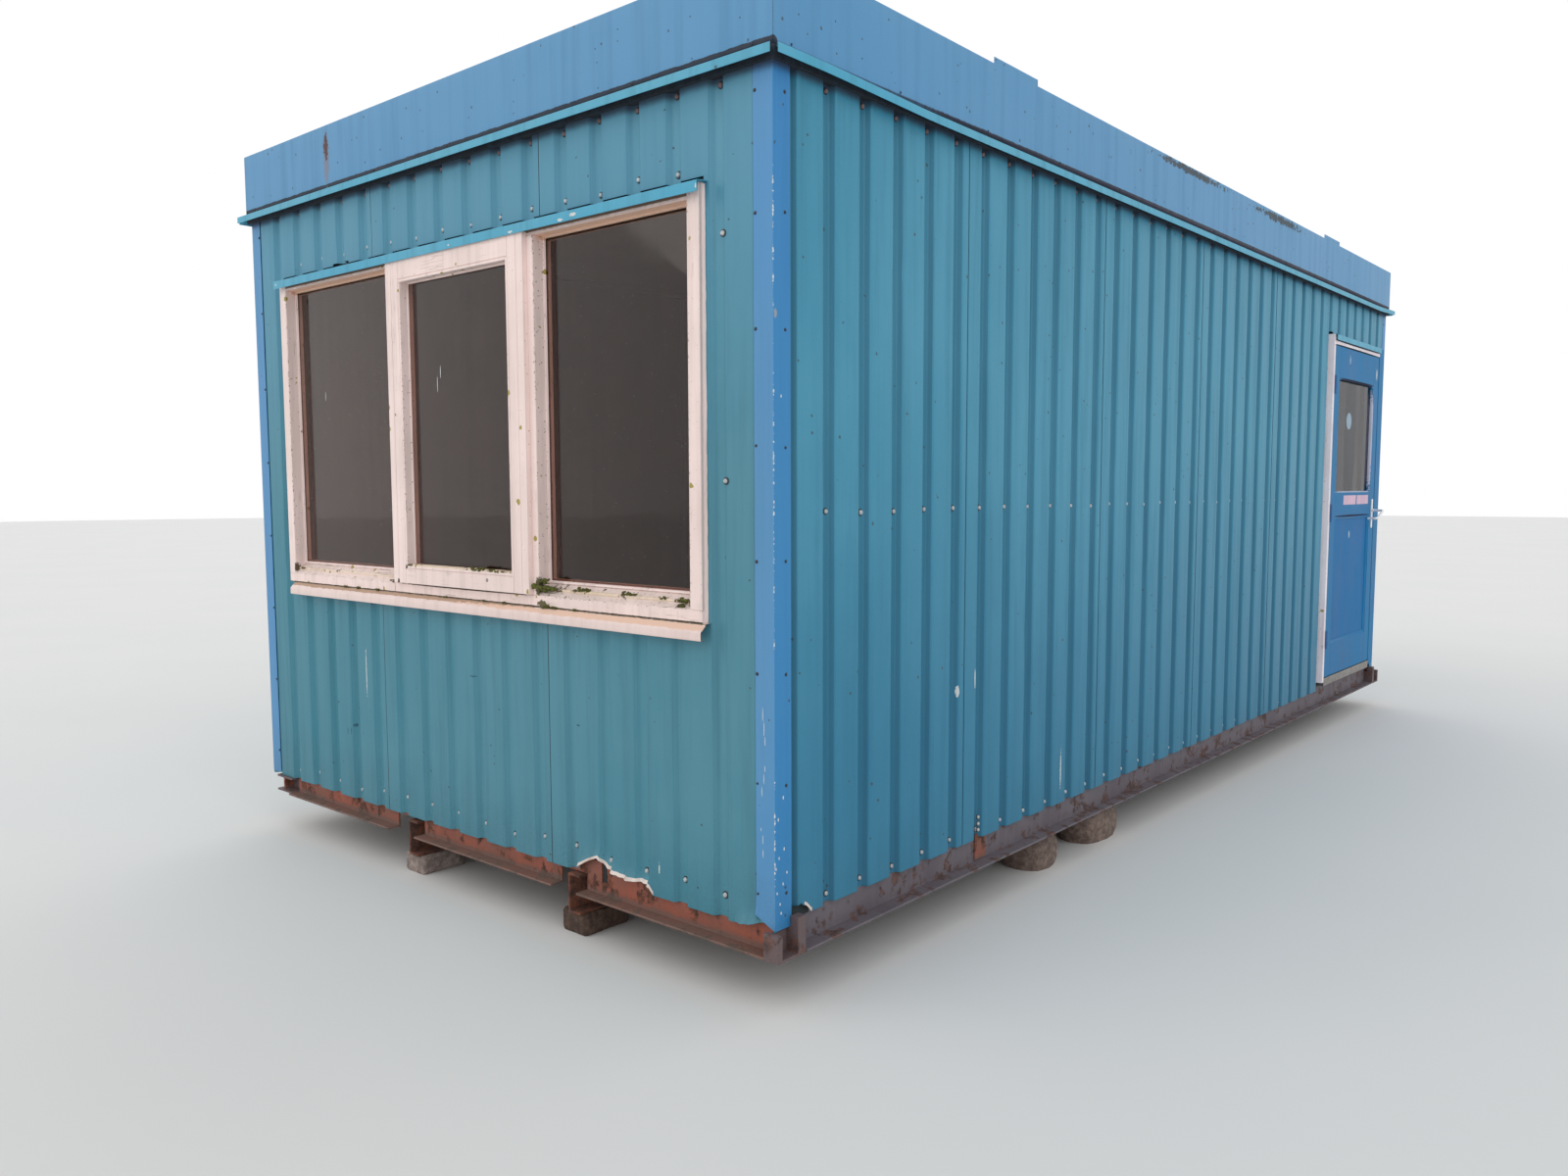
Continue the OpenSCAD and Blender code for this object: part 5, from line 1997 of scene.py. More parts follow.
@dataclass
class HeadFlashings:
    """The turquoise flashings over the window and the door.

    Args:
        steel: Thickness of the steel.
        lip: Height of their lips.
        window: Start and end along the window end, height of the frame's head, and reach.
        door: The same on the door side.
        free: From where they are free of the frame, and uneven.
        window_gap: Start, end and both heights of the dark box over the window, painted shade in the gap behind the rib
            ends.
        door_gap: The same over the door.
        gap_reach: Both faces of the gaps, inward from the ribs.
    """

    steel: float = 0.0015
    lip: float = 0.034
    window: Place = (0.262, 2.755, 2.364, 0.046)
    door: Place = (5.084, 6.070, 2.404, 0.034)
    free: float = 0.028
    window_gap: Place = (0.262, 2.755, 2.3645, 2.398)
    door_gap: Place = (5.052, 5.110, 2.4045, 2.428)
    gap_reach: tuple[float, float] = (0.0203, 0.0212)

    def strip(self, shape: Shape, face: Face, size: Place) -> None:
        """Adds one flashing.

        Args:
            shape: Where it goes.
            face: Face that it is on.
            size: Start, end, height and reach.
        """
        (start, end, low, reach), s = size, self.steel
        line = [(0.0, low + s), (0.020, low + s), (reach, low + s - 0.004), (reach, low - self.lip)]
        outline = thick(spaced(rounded(line, 0.003, 3), 0.03), -s)
        rings = []
        for along in parted(start, end, max(2, round((end - start) / 0.06))):
            push = -0.001 * hollow((along, low, 3.1), 5.0)
            rings.append([face.at(along, out + push * (out > self.free), up) for out, up in outline])
        shape.tube(rings)

    def build(self) -> None:
        """Makes the piece that stands for both flashings, with dark boxes over them as painted shade in the gaps."""
        shape = Shape()
        self.strip(shape, FRONT_FACE, self.window)
        self.strip(shape, RIGHT_FACE, self.door)
        # Painted shade: dark boxes in the lap-gap paint stand for the shade in the gaps above the flashings.
        near, far = self.gap_reach
        start, end, low, high = self.window_gap
        shape.box((LEFT + start, FRONT + near, low), (LEFT + end, FRONT + far, high), 1)
        start, end, low, high = self.door_gap
        shape.box((RIGHT - far, FRONT + start, low), (RIGHT - near, FRONT + end, high), 1)
        finishes = (Finish.TURQUOISE, Finish.LAP_GAP)
        build("head_strips", shape, finishes, "turquoise_paint", "head_flashings", sharp=50.0)


# --------------------------------------------------------------------------
# Screws
# --------------------------------------------------------------------------


@dataclass
class Screws:
    """Screws of the sheeting, the corner angles and the roof edge, joined by face.

    Args:
        head: Radius of a head.
        rise: Height of a head.
        washer: Radius of a washer.
        washer_rise: Height of a washer.
        sides: Sides of a screw.
        small: Scale of the small screws.
        floor: How far back the valleys are.
        end_rows: Heights of the rows on the ends of the cabin.
        side_rows: Heights of the rows on its long sides.
        top: Height above which a row is the highest one.
        window_span: Both ends along the face of the stretch with the window.
        door_start: Place along the door side from which the door leaves no room.
        over_window: Heights of the screws over the window.
        along_foot: Heights of the screws along the foot of the window end.
        corner_row: Number of screws on a corner angle, height of the lowest, and distance apart.
        window_extra: Screws on the near corner of the window end, as along and height.
        door_extra: Place along the door side of the screws at a seam, and their heights.
        fascia_row: Margin, greatest distance apart, distance out and height of the screws on a fascia.
    """

    head: float = 0.0074
    rise: float = 0.0060
    washer: float = 0.0114
    washer_rise: float = 0.0016
    sides: int = 10
    small: float = 0.5
    floor: float = -0.0205
    end_rows: tuple[float, ...] = (0.28, 1.425, 2.628)
    side_rows: tuple[float, ...] = (0.278, 1.425, 2.628)
    top: float = 2.5
    window_span: tuple[float, float] = (0.24, 2.76)
    door_start: float = 5.03
    over_window: tuple[float, ...] = (
        2.428, 2.424, 2.432, 2.423, 2.418, 2.420, 2.414, 2.418, 2.418, 2.411, 2.407, 2.423, 2.404
    )
    along_foot: tuple[float, ...] = (
        0.262, 0.285, 0.271, 0.267, 0.284, 0.292, 0.288, 0.295,
        0.287, 0.280, 0.301, 0.307, 0.291, 0.288, 0.297, 0.288,
    )
    corner_row: tuple[int, float, float] = (8, 0.335, 0.3195)
    window_extra: tuple[tuple[float, float], ...] = ((2.814, 2.212), (2.819, 1.518))
    door_extra: tuple[float, Triple] = (1.098, (0.284, 0.306, 0.330))
    fascia_row: Place = (0.06, 0.52, 0.0145, 2.692)

    def add(self, shape: Shape, place: Vector, out: Vector, size: float = 1.0, kinds: tuple[int, int] = (0, 1)) -> None:
        """Adds one screw.

        Args:
            shape: Where it goes.
            place: Foot of the screw.
            out: Way it stands out.
            size: Scale of the screw.
            kinds: Material slots of its head and its washer.
        """
        turn = out.to_track_quat("Z", "Y").to_matrix()

        def rings(*sizes: tuple[float, float]) -> list[list[Vector]]:
            """Returns rings round the screw's axis, each given by its radius and height."""
            ways = circle(self.sides)
            return [[place + turn @ Vector((r * c, r * s, up)) * size for c, s in ways] for r, up in sizes]

        low, high = self.washer_rise, self.washer_rise + self.rise
        shape.tube(rings((self.washer, 0.0), (self.washer, low * 0.6), (self.washer * 0.8, low)), kinds[1])
        domed = ((self.head * 0.72, high * 0.92), (self.head * 0.3, high))
        shape.tube(rings((self.head, low * 0.5), (self.head, low + self.rise * 0.45), *domed), kinds[0])

    def row(self, face: Face, along: float, up: float, number: int) -> float | None:
        """Finds the height of a screw in a valley.

        Args:
            face: Face that it is on.
            along: Middle of the valley.
            up: Height of its row.
            number: Number of the valley.

        Returns:
            The height, or None where an opening leaves no room for it.
        """
        if face is RIGHT_FACE and along > self.door_start and up < self.top:
            return None
        if face is not FRONT_FACE or up > self.top:
            return up
        if up == self.end_rows[0]:
            return self.along_foot[min(number, len(self.along_foot) - 1)]
        start, end = self.window_span
        if along >= end:
            return None
        if along <= start:
            return up
        return self.over_window[min(max(round((along - face.valley) / PITCH) - 3, 0), len(self.over_window) - 1)]

    def build(self, face: Face, draw: random.Random) -> None:
        """Makes the screws of one face.

        Args:
            face: The face.
            draw: Source of chance.
        """
        shape, length = Shape(), face.length
        long_side = face in (RIGHT_FACE, LEFT_FACE)
        count = int((length - face.valley) / PITCH) + 1
        valleys = [v for v in (face.valley + PITCH * i for i in range(count)) if 0.09 < v < length - 0.09]
        for number, along in enumerate(valleys):
            for level in self.side_rows if long_side else self.end_rows:
                up = self.row(face, along, level, number)
                if up is None:
                    continue
                move = Vector((0, 0, draw.uniform(-0.004, 0.004)))
                side = 0.004 + draw.uniform(-0.002, 0.003)
                kinds = (2 if level > self.top else 0, 1)
                self.add(shape, face.at(along + side, self.floor, up) + move, face.out, draw.uniform(0.92, 1.08), kinds)
        count, lowest, apart = self.corner_row
        for corner, inward in ((0.0, 1), (length, -1)):
            along = corner + inward * (0.048 if long_side else 0.0635)
            for index in range(count):
                up = lowest + apart * index + draw.uniform(-0.004, 0.004)
                self.add(shape, face.at(along, 0.0012, up), face.out, self.small, (3, 3))
        if face is FRONT_FACE:
            for along, up in self.window_extra:
                self.add(shape, face.at(along, -0.0005, up), face.out)
        if face is RIGHT_FACE:
            for up in self.door_extra[1]:
                self.add(shape, face.at(self.door_extra[0], -0.0015, up), face.out, 0.9)
        margin, apart, out, up = self.fascia_row
        for along in parted(margin, length - margin, round(length / apart)):
            self.add(shape, face.at(along, out, up), face.out, self.small, (3, 3))
        finishes = (Finish.SCREW, Finish.WASHER, Finish.RUSTY_WASHER, Finish.SMALL_SCREW)
        build(face.name + "_screws", shape, finishes, "stainless")


# --------------------------------------------------------------------------
# Window
# --------------------------------------------------------------------------


@dataclass(frozen=True)
class Light:
    """One pane's opening, by its edges and the outer face of its glass."""

    left: float
    right: float
    low: float
    high: float
    glass: float


@dataclass
class Window:
    """The timber window of three lights, with its sash, beads, sill and moss.

    Args:
        front: Outer face of the frame.
        sash_front: Outer face of the sash.
        sash_back: Inner face of the sash.
        fixed: The two fixed lights.
        sash: The light of the sash.
        leaf: Outer edges of the sash.
        inset: How far the rear of the sash keeps off its edges.
        board: Thickness of the boards on its face.
        edge_board: Width of the outer boards.
        groove: Width of the grooves between them.
        bead: Width of the bead round its glass.
        ledge_bead: Place, height and radius of the worn beads below the fixed lights.
        sill_line: Fold of the sill as (out, up).
        sill_cap: Outline of its rounded end.
        sill_span: Its ends along the window end.
        sill_middle: Height round which its end is rounded.
        tufts: Lumps of one spot of moss.
        moss_spots: Middles of the spots of moss and their sizes.
        paint_splashes: Splashes on the glass, with half of their heights.
    """

    front: float = -3.155
    sash_front: float = -3.173
    sash_back: float = -3.115
    fixed: tuple[Light, ...] = (
        Light(-1.214, -0.442, 1.184, 2.321, -3.105),
        Light(0.450, 1.162, 1.184, 2.321, -3.105),
    )
    sash: Light = Light(-0.317, 0.325, 1.211, 2.254, -3.138)
    leaf: Light = Light(-0.411, 0.419, 1.144, 2.334, -3.138)
    inset: float = 0.016
    board: float = 0.003
    edge_board: float = 0.035
    groove: float = 0.002
    bead: float = 0.010
    ledge_bead: Triple = (-3.1335, 1.1605, 0.0062)
    sill_line: tuple[tuple[float, float], ...] = (
        (0.0, 1.103), (0.020, 1.103), (0.044, 1.081), (0.044, 1.053), (0.034, 1.053)
    )
    sill_cap: tuple[tuple[float, float], ...] = (
        (0.0, 1.1005), (0.019, 1.1005), (0.042, 1.0795), (0.042, 1.055), (0.0, 1.055)
    )
    sill_span: tuple[float, float] = (0.306, 2.755)
    sill_middle: float = 1.078
    tufts: int = 18
    moss_spots: tuple[Place, ...] = (
        (0.456, -3.152, 1.166, 0.030), (0.470, -3.150, 1.190, 0.018), (0.500, -3.146, 1.166, 0.020),
        (0.120, -3.170, 1.215, 0.020), (0.152, -3.170, 1.217, 0.017), (0.205, -3.170, 1.214, 0.013),
        (0.236, -3.170, 1.212, 0.011), (0.640, -3.138, 1.170, 0.017), (0.672, -3.138, 1.171, 0.014),
        (0.866, -3.138, 1.170, 0.016), (0.895, -3.138, 1.169, 0.012), (1.030, -3.140, 1.167, 0.011),
        (1.128, -3.146, 1.166, 0.018), (1.120, -3.152, 1.150, 0.014), (0.489, -3.158, 1.106, 0.016),
        (0.530, -3.158, 1.105, 0.011), (0.640, -3.158, 1.105, 0.009), (-0.098, -3.158, 1.105, 0.008),
        (0.143, -3.158, 1.105, 0.008), (0.257, -3.158, 1.105, 0.010), (-0.450, -3.152, 1.146, 0.013),
        (-0.700, -3.158, 1.106, 0.012), (-0.800, -3.158, 1.106, 0.009), (-0.560, -3.158, 1.106, 0.010),
        (-1.170, -3.146, 1.164, 0.010), (-0.305, -3.171, 1.213, 0.009),
    )
    paint_splashes: tuple[Place, ...] = (
        (-0.119, -3.138, 1.918, 0.022), (-0.140, -3.138, 1.874, 0.028), (-1.004, -3.105, 1.878, 0.018)
    )

    def ring(self, shape: Shape, light: Light, *profile: tuple[float, float]) -> None:
        """Adds a moulding inside a light, its outline given as (inward, out from the glass)."""
        low, high = (light.left, light.glass, light.low), (light.right, light.glass, light.high)
        shape.bead_ring(low, high, (0.0, -1.0, 0.0), list(profile))

    def member(self, shape: Shape, across: tuple[float, float], up: tuple[float, float], rear: Place) -> None:
        """Adds the body of one stile or rail of the sash.

        Args:
            shape: Where it goes.
            across: Its left and right edge.
            up: Its lower and upper edge.
            rear: How far its rear part keeps off its left, right, lower and upper edge.
        """
        (x0, x1), (z0, z1) = across, up
        left, right, low, high = (share * self.inset for share in rear)
        shape.box((x0, self.sash_front + self.board, z0), (x1, self.front, z1))
        shape.box((x0 + left, self.front - 0.0005, z0 + low), (x1 - right, self.sash_back, z1 - high))

    def facing(self, shape: Shape, across: tuple[float, float], up: tuple[float, float]) -> None:
        """Adds one board of the sash's face."""
        (x0, x1), (z0, z1) = across, up
        shape.box((x0, self.sash_front, z0), (x1, self.sash_front + self.board + 0.0003, z1))

    def stiles(self) -> None:
        """Makes the stiles of the sash, each with a strip and a board on its face."""
        leaf, shape, edge, groove = self.leaf, Shape(), self.edge_board, self.groove
        left, right, up = self.sash.left - self.bead, self.sash.right + self.bead, (leaf.low, leaf.high)
        self.member(shape, (leaf.left, left), up, (1, 0, 1, 1))
        self.member(shape, (right, leaf.right), up, (0, 1, 1, 1))
        self.facing(shape, (leaf.left, leaf.left + edge), up)
        self.facing(shape, (leaf.left + edge + groove, left - groove), up)
        self.facing(shape, (right + groove, leaf.right - edge - groove), up)
        self.facing(shape, (leaf.right - edge, leaf.right), up)
        build("sash_posts", shape, [Finish.WINDOW_WHITE], "white_timber", "sash_stiles", bevel=0.0008)

    def rails(self) -> None:
        """Makes the rails of the sash."""
        leaf, light, shape, bead = self.leaf, self.sash, Shape(), self.bead
        across = (light.left - bead, light.right + bead)
        self.member(shape, across, (leaf.low, light.low - bead), (0, 0, 1, 0))
        self.member(shape, across, (light.high + bead, leaf.high), (0, 0, 0, 1))
        self.facing(shape, across, (leaf.low, light.low - bead - self.groove))
        self.facing(shape, across, (light.high + bead + self.groove, leaf.high))
        build("sash_bars", shape, [Finish.WINDOW_WHITE_LONG], "white_timber", "sash_rails", bevel=0.0008)

    def beads(self) -> None:
        """Makes the putty and the beads round the glass, and the worn beads over the ledges."""
        shape, b, sash, front = Shape(), self.bead, self.sash, self.sash_front
        for light in self.fixed:
            self.ring(shape, light, (-0.002, 0.0), (0.006, 0.0), (0.004, 0.006), (-0.002, 0.008))
            self.ring(shape, light, (-0.002, -0.005), (-0.002, -0.02), (0.012, -0.018), (0.012, -0.005))
        face, back = sash.glass - front, sash.glass - self.sash_back
        outer = ((-b, back), (-b, face - 0.001), (-b + 0.001, face))
        self.ring(shape, sash, *outer, (-0.0015, face), (0.0, face - 0.002), (0.0, back))
        self.ring(shape, sash, (-0.001, 0.0), (0.005, 0.0), (0.003, 0.004), (-0.001, 0.005))
        build("glazing_beads", shape, [Finish.WINDOW_WHITE], "white_timber")
        shape = Shape()
        for light in self.fixed:
            self.round_bead(shape, light, *self.ledge_bead)
        self.round_bead(shape, sash, front + 0.005, sash.low + 0.001, 0.0045)
        slope = ((front + 0.006, 1.2105), (front + 0.007, 1.2125), (sash.glass, 1.2165), (sash.glass, 1.2105))
        shape.tube([[(x, y, z) for y, z in slope] for x in (sash.left + 0.0005, sash.right - 0.0005)])
        build("worn_beads", shape, [Finish.WORN_BEAD], "white_timber")

    def round_bead(self, shape: Shape, light: Light, y: float, z: float, radius: float) -> None:
        """Adds a worn round bead along the foot of a light.

        Args:
            shape: Where it goes.
            light: The light.
            y: Place of its axis.
            z: Height of its axis.
            radius: Its radius.
        """
        rings = []
        for x in parted(light.left + 0.0005, light.right - 0.0005, 48):
            worn = radius * (1 + 0.22 * ripple((x, z, 4.0), 28.0))
            rings.append([(x, y + worn * c, z + worn * s) for c, s in circle(10)])
        shape.tube(rings)

    def sill(self) -> None:
        """Makes the folded sill with its rounded nose."""
        start, end = self.sill_span
        outline = thick(spaced(rounded(list(self.sill_line), 0.006, 4), 0.03), -0.002)
        rings = []
        for along in parted(start, end, 42):
            push = -0.0008 * hollow((along, 0.4, 9.1), 5.0)
            rings.append([FRONT_FACE.at(along, out + push * (out > 0.03), up) for out, up in outline])
        shape = Shape()
        shape.tube(rings)
        cap, middle, rings = rounded(list(self.sill_cap), 0.006, 4), self.sill_middle, []
        for turn in parted(0.0, math.pi / 2, 4):
            along, c = start + 0.0015 - 0.010 * math.sin(turn), math.cos(turn)
            ring = ((out * (0.72 + 0.28 * c), middle + (up - middle) * (0.6 + 0.4 * c)) for out, up in cap)
            rings.append([FRONT_FACE.at(along, out, up) for out, up in ring])
        shape.tube(rings)
        build("sill_strip", shape, [Finish.SILL_WHITE], "white_paint", "window_sill", sharp=50.0)

    def splashes(self) -> None:
        """Makes the splashes of dried paint on the glass."""
        shape = Shape()
        for x, y, z, half in self.paint_splashes:
            shape.flake((x, y, z), (0.0015, 0.0, 0.0), (0.0, 0.0, half), (0.0, -0.0003, 0.0))
        build("dried_paint", shape, [Finish.DRIED_PAINT], "white_paint")

    def sealant(self, draw: random.Random) -> None:
        """Makes the smeared sealant along the right edge of the frame.

        Args:
            draw: Source of chance.
        """
        shape, rings, edge = Shape(), [], self.fixed[1].right + 0.0498
        for up in parted(1.104, 2.360, 90):
            width = 0.004 + 0.003 * hollow((up, 1.0, 2.0), 9.0) + 0.0015 * draw.random()
            outline = ((edge, -0.003), (edge, 0.007), (edge + width * 0.5, 0.006), (edge + width, 0.0))
            rings.append([(x, FRONT - out, up) for x, out in outline])
        shape.tube(rings)
        build("edge_sealant", shape, [Finish.SILL_WHITE], "white_paint")

    def moss(self, draw: random.Random) -> None:
        """Makes the moss along the lower rails and over the sill.

        Args:
            draw: Source of chance.
        """
        shape, spread = Shape(), ((-1.2, 1.2), (-0.3, 0.5), (-0.35, 0.35))
        for *middle, size in self.moss_spots:
            for _ in range(self.tufts):
                spot = Vector([at + draw.uniform(*ends) * size for at, ends in zip(middle, spread)])
                self.tuft(shape, spot, size * draw.uniform(0.18, 0.42), draw)
        build("sill_moss", shape, [Finish.MOSS], sharp=180.0)

    def tuft(self, shape: Shape, spot: Vector, radius: float, draw: random.Random) -> None:
        """Adds one lump of moss.

        Args:
            shape: Where it goes.
            spot: Its middle.
            radius: Its radius.
            draw: Source of chance.
        """
        rings = []
        for row in range(5):
            tilt = math.pi * (row + 0.5) / 5
            flat, up = math.sin(tilt), math.cos(tilt) * 0.62
            ways = (Vector((flat * c, flat * s, up)) for c, s in circle(9))
            rings.append([spot + way * radius * draw.uniform(0.78, 1.12) for way in ways])
        shape.tube(rings)

    def side(self, middle: Vector) -> int:
        """Returns the material slot of a face of the posts: painted shade behind the glass."""
        return int(middle.y > self.fixed[0].glass)

    def ledge(self, middle: Vector) -> int:
        """Returns the material slot of a face of the rails: painted shade behind the glass, worn on the ledges."""
        return 2 if middle.y > self.fixed[0].glass else int(abs(middle.z - 1.1625) < 0.006)

    def build(self, frame: dict, draw: random.Random) -> None:
        """Makes the whole window.

        Args:
            frame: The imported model.
            draw: Source of chance.
        """
        posts = (Finish.WINDOW_WHITE, Finish.REVEAL)
        bars = (Finish.WINDOW_WHITE_LONG, Finish.WORN_LEDGE, Finish.REVEAL)
        cut, worn = self.fixed[0].glass, 0.0025
        dressed(frame, "window_posts", "window_jambs", posts, "white_timber", bevel=worn, kind=self.side, cut=cut)
        dressed(frame, "window_bars", "window_rails", bars, "white_timber", bevel=worn, kind=self.ledge, cut=cut)
        self.stiles()
        self.rails()
        self.beads()
        self.sill()
        self.splashes()
        self.sealant(draw)
        self.moss(draw)
        dress_node(frame, "window_panes", Finish.PANE)


# --------------------------------------------------------------------------
# Door
# --------------------------------------------------------------------------


@dataclass
class Door:
    """The timber door with its frame, glass beads, hinges and lever.

    Args:
        face: Outer face of the leaf.
        back: Inner face of the leaf.
        glass: Opening of its glass.
        panel: Lower and upper edge of its panel.
        bead: Width of the glass beads.
        signs: Both ends of each plate of the sign, along the cabin.
    """

    face: float = 1.492
    back: float = 1.452
    glass: Light = Light(2.075, 2.840, 1.459, 2.151, 1.474)
    panel: tuple[float, float] = (0.527, 1.310)
    bead: float = 0.009
    signs: tuple[tuple[float, float], ...] = ((2.245, 2.515), (2.540, 2.800))

    def sign(self) -> None:
        """Makes the two worn plates of the sign under the glass and the blank label on the glass."""
        shape = Shape()
        for start, end in self.signs:
            shape.box((self.face - 0.0005, start, 1.382), (self.face + 0.0015, end, 1.440))
        build("door_sign", shape, [Finish.DOOR_SIGN], "white_paint", body="door", bevel=0.0006)
        shape = Shape()
        shape.flake((self.glass.glass, 2.368, 1.905), (0.0, 0.055, 0.0), (0.0, 0.0, 0.052), (0.0003, 0.0, 0.0))
        build("blank_label", shape, [Finish.DOOR_LABEL], "white_paint", body="door")

    def beads(self) -> None:
        """Makes the beads on both sides of the door's glass and panel."""
        light, b = self.glass, self.bead
        shape = Shape()
        for x, way, deep in ((1.474, 1.0, self.face - 1.474), (1.470, -1.0, 1.470 - self.back)):
            low, high = (x, light.left, light.low), (x, light.right, light.high)
            inner = [(b, 0.0), (b, deep * 0.5), (b - 0.004, deep - 0.002)]
            shape.bead_ring(low, high, (way, 0.0, 0.0), [(-0.002, 0.0), *inner, (-0.002, deep - 0.001)])
        build("door_beads", shape, [Finish.DOOR_BLUE], "blue_timber", body="door")
        shape = Shape()
        for x, way, deep in ((1.480, 1.0, 0.012), (1.462, -1.0, 0.010)):
            low, high = (x, light.left, self.panel[0]), (x, light.right, self.panel[1])
            inner = [(0.018, 0.0), (0.016, 0.004), (0.008, deep - 0.004)]
            shape.bead_ring(low, high, (way, 0.0, 0.0), [(-0.002, 0.0), *inner, (-0.002, deep - 0.002)])
        build("panel_beads", shape, [Finish.DOOR_BLUE_LONG], "blue_timber", body="door")

    @staticmethod
    def white(middle: Vector) -> int:
        """Returns the material slot of a face of the posts: white on the near one."""
        return int(middle.y < 2.4)

    @staticmethod
    def chamfered(corner: Vector) -> Vector:
        """Returns a corner of the posts, moved back where the near one is chamfered."""
        outer = corner.x > 1.49 and corner.y < 1.925
        return Vector((corner.x, corner.y + 0.018, corner.z)) if outer else corner

    def build(self, frame: dict) -> None:
        """Makes the whole door.

        Args:
            frame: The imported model.
        """
        posts = (Finish.DOOR_BLUE, Finish.DOOR_WHITE_POST)
        move = {"kind": self.white, "move": self.chamfered}
        dressed(frame, "door_posts", "door_jambs", posts, "blue_timber", bevel=0.0025, **move)
        dressed(frame, "door_lintel", "door_head", [Finish.DOOR_WHITE], "white_timber", bevel=0.0025)
        dressed(frame, "leaf_stiles", "door_stiles", [Finish.DOOR_BLUE], "blue_timber", "door", 0.002)
        dressed(frame, "leaf_rails", "door_rails", [Finish.DOOR_BLUE_LONG], "blue_timber", "door", 0.002)
        dressed(frame, "leaf_panel", "door_panel", [Finish.DOOR_PANEL], "blue_timber", "door", 0.001)
        self.beads()
        self.sign()
        dressed(frame, "lever_plates", "handle_plates", [Finish.STAINLESS], "stainless", "door", 0.0015)
        dressed(frame, "lever_bar", "door_lever", [Finish.STAINLESS], "stainless", "lever", 0.0, 30.0)
        dressed(frame, "fixed_hinges", "hinge_pins", [Finish.HINGE], "hinge_steel", "cabin", 0.0005)
        dressed(frame, "leaf_hinges", "hinge_knuckles", [Finish.HINGE], "hinge_steel", "door", 0.0005)
        dressed(frame, "sill_plate", "door_threshold", [Finish.STEP_STEEL], "hinge_steel")
        dress_node(frame, "door_glass", Finish.DOOR_PANE)


# --------------------------------------------------------------------------
# Base
# --------------------------------------------------------------------------


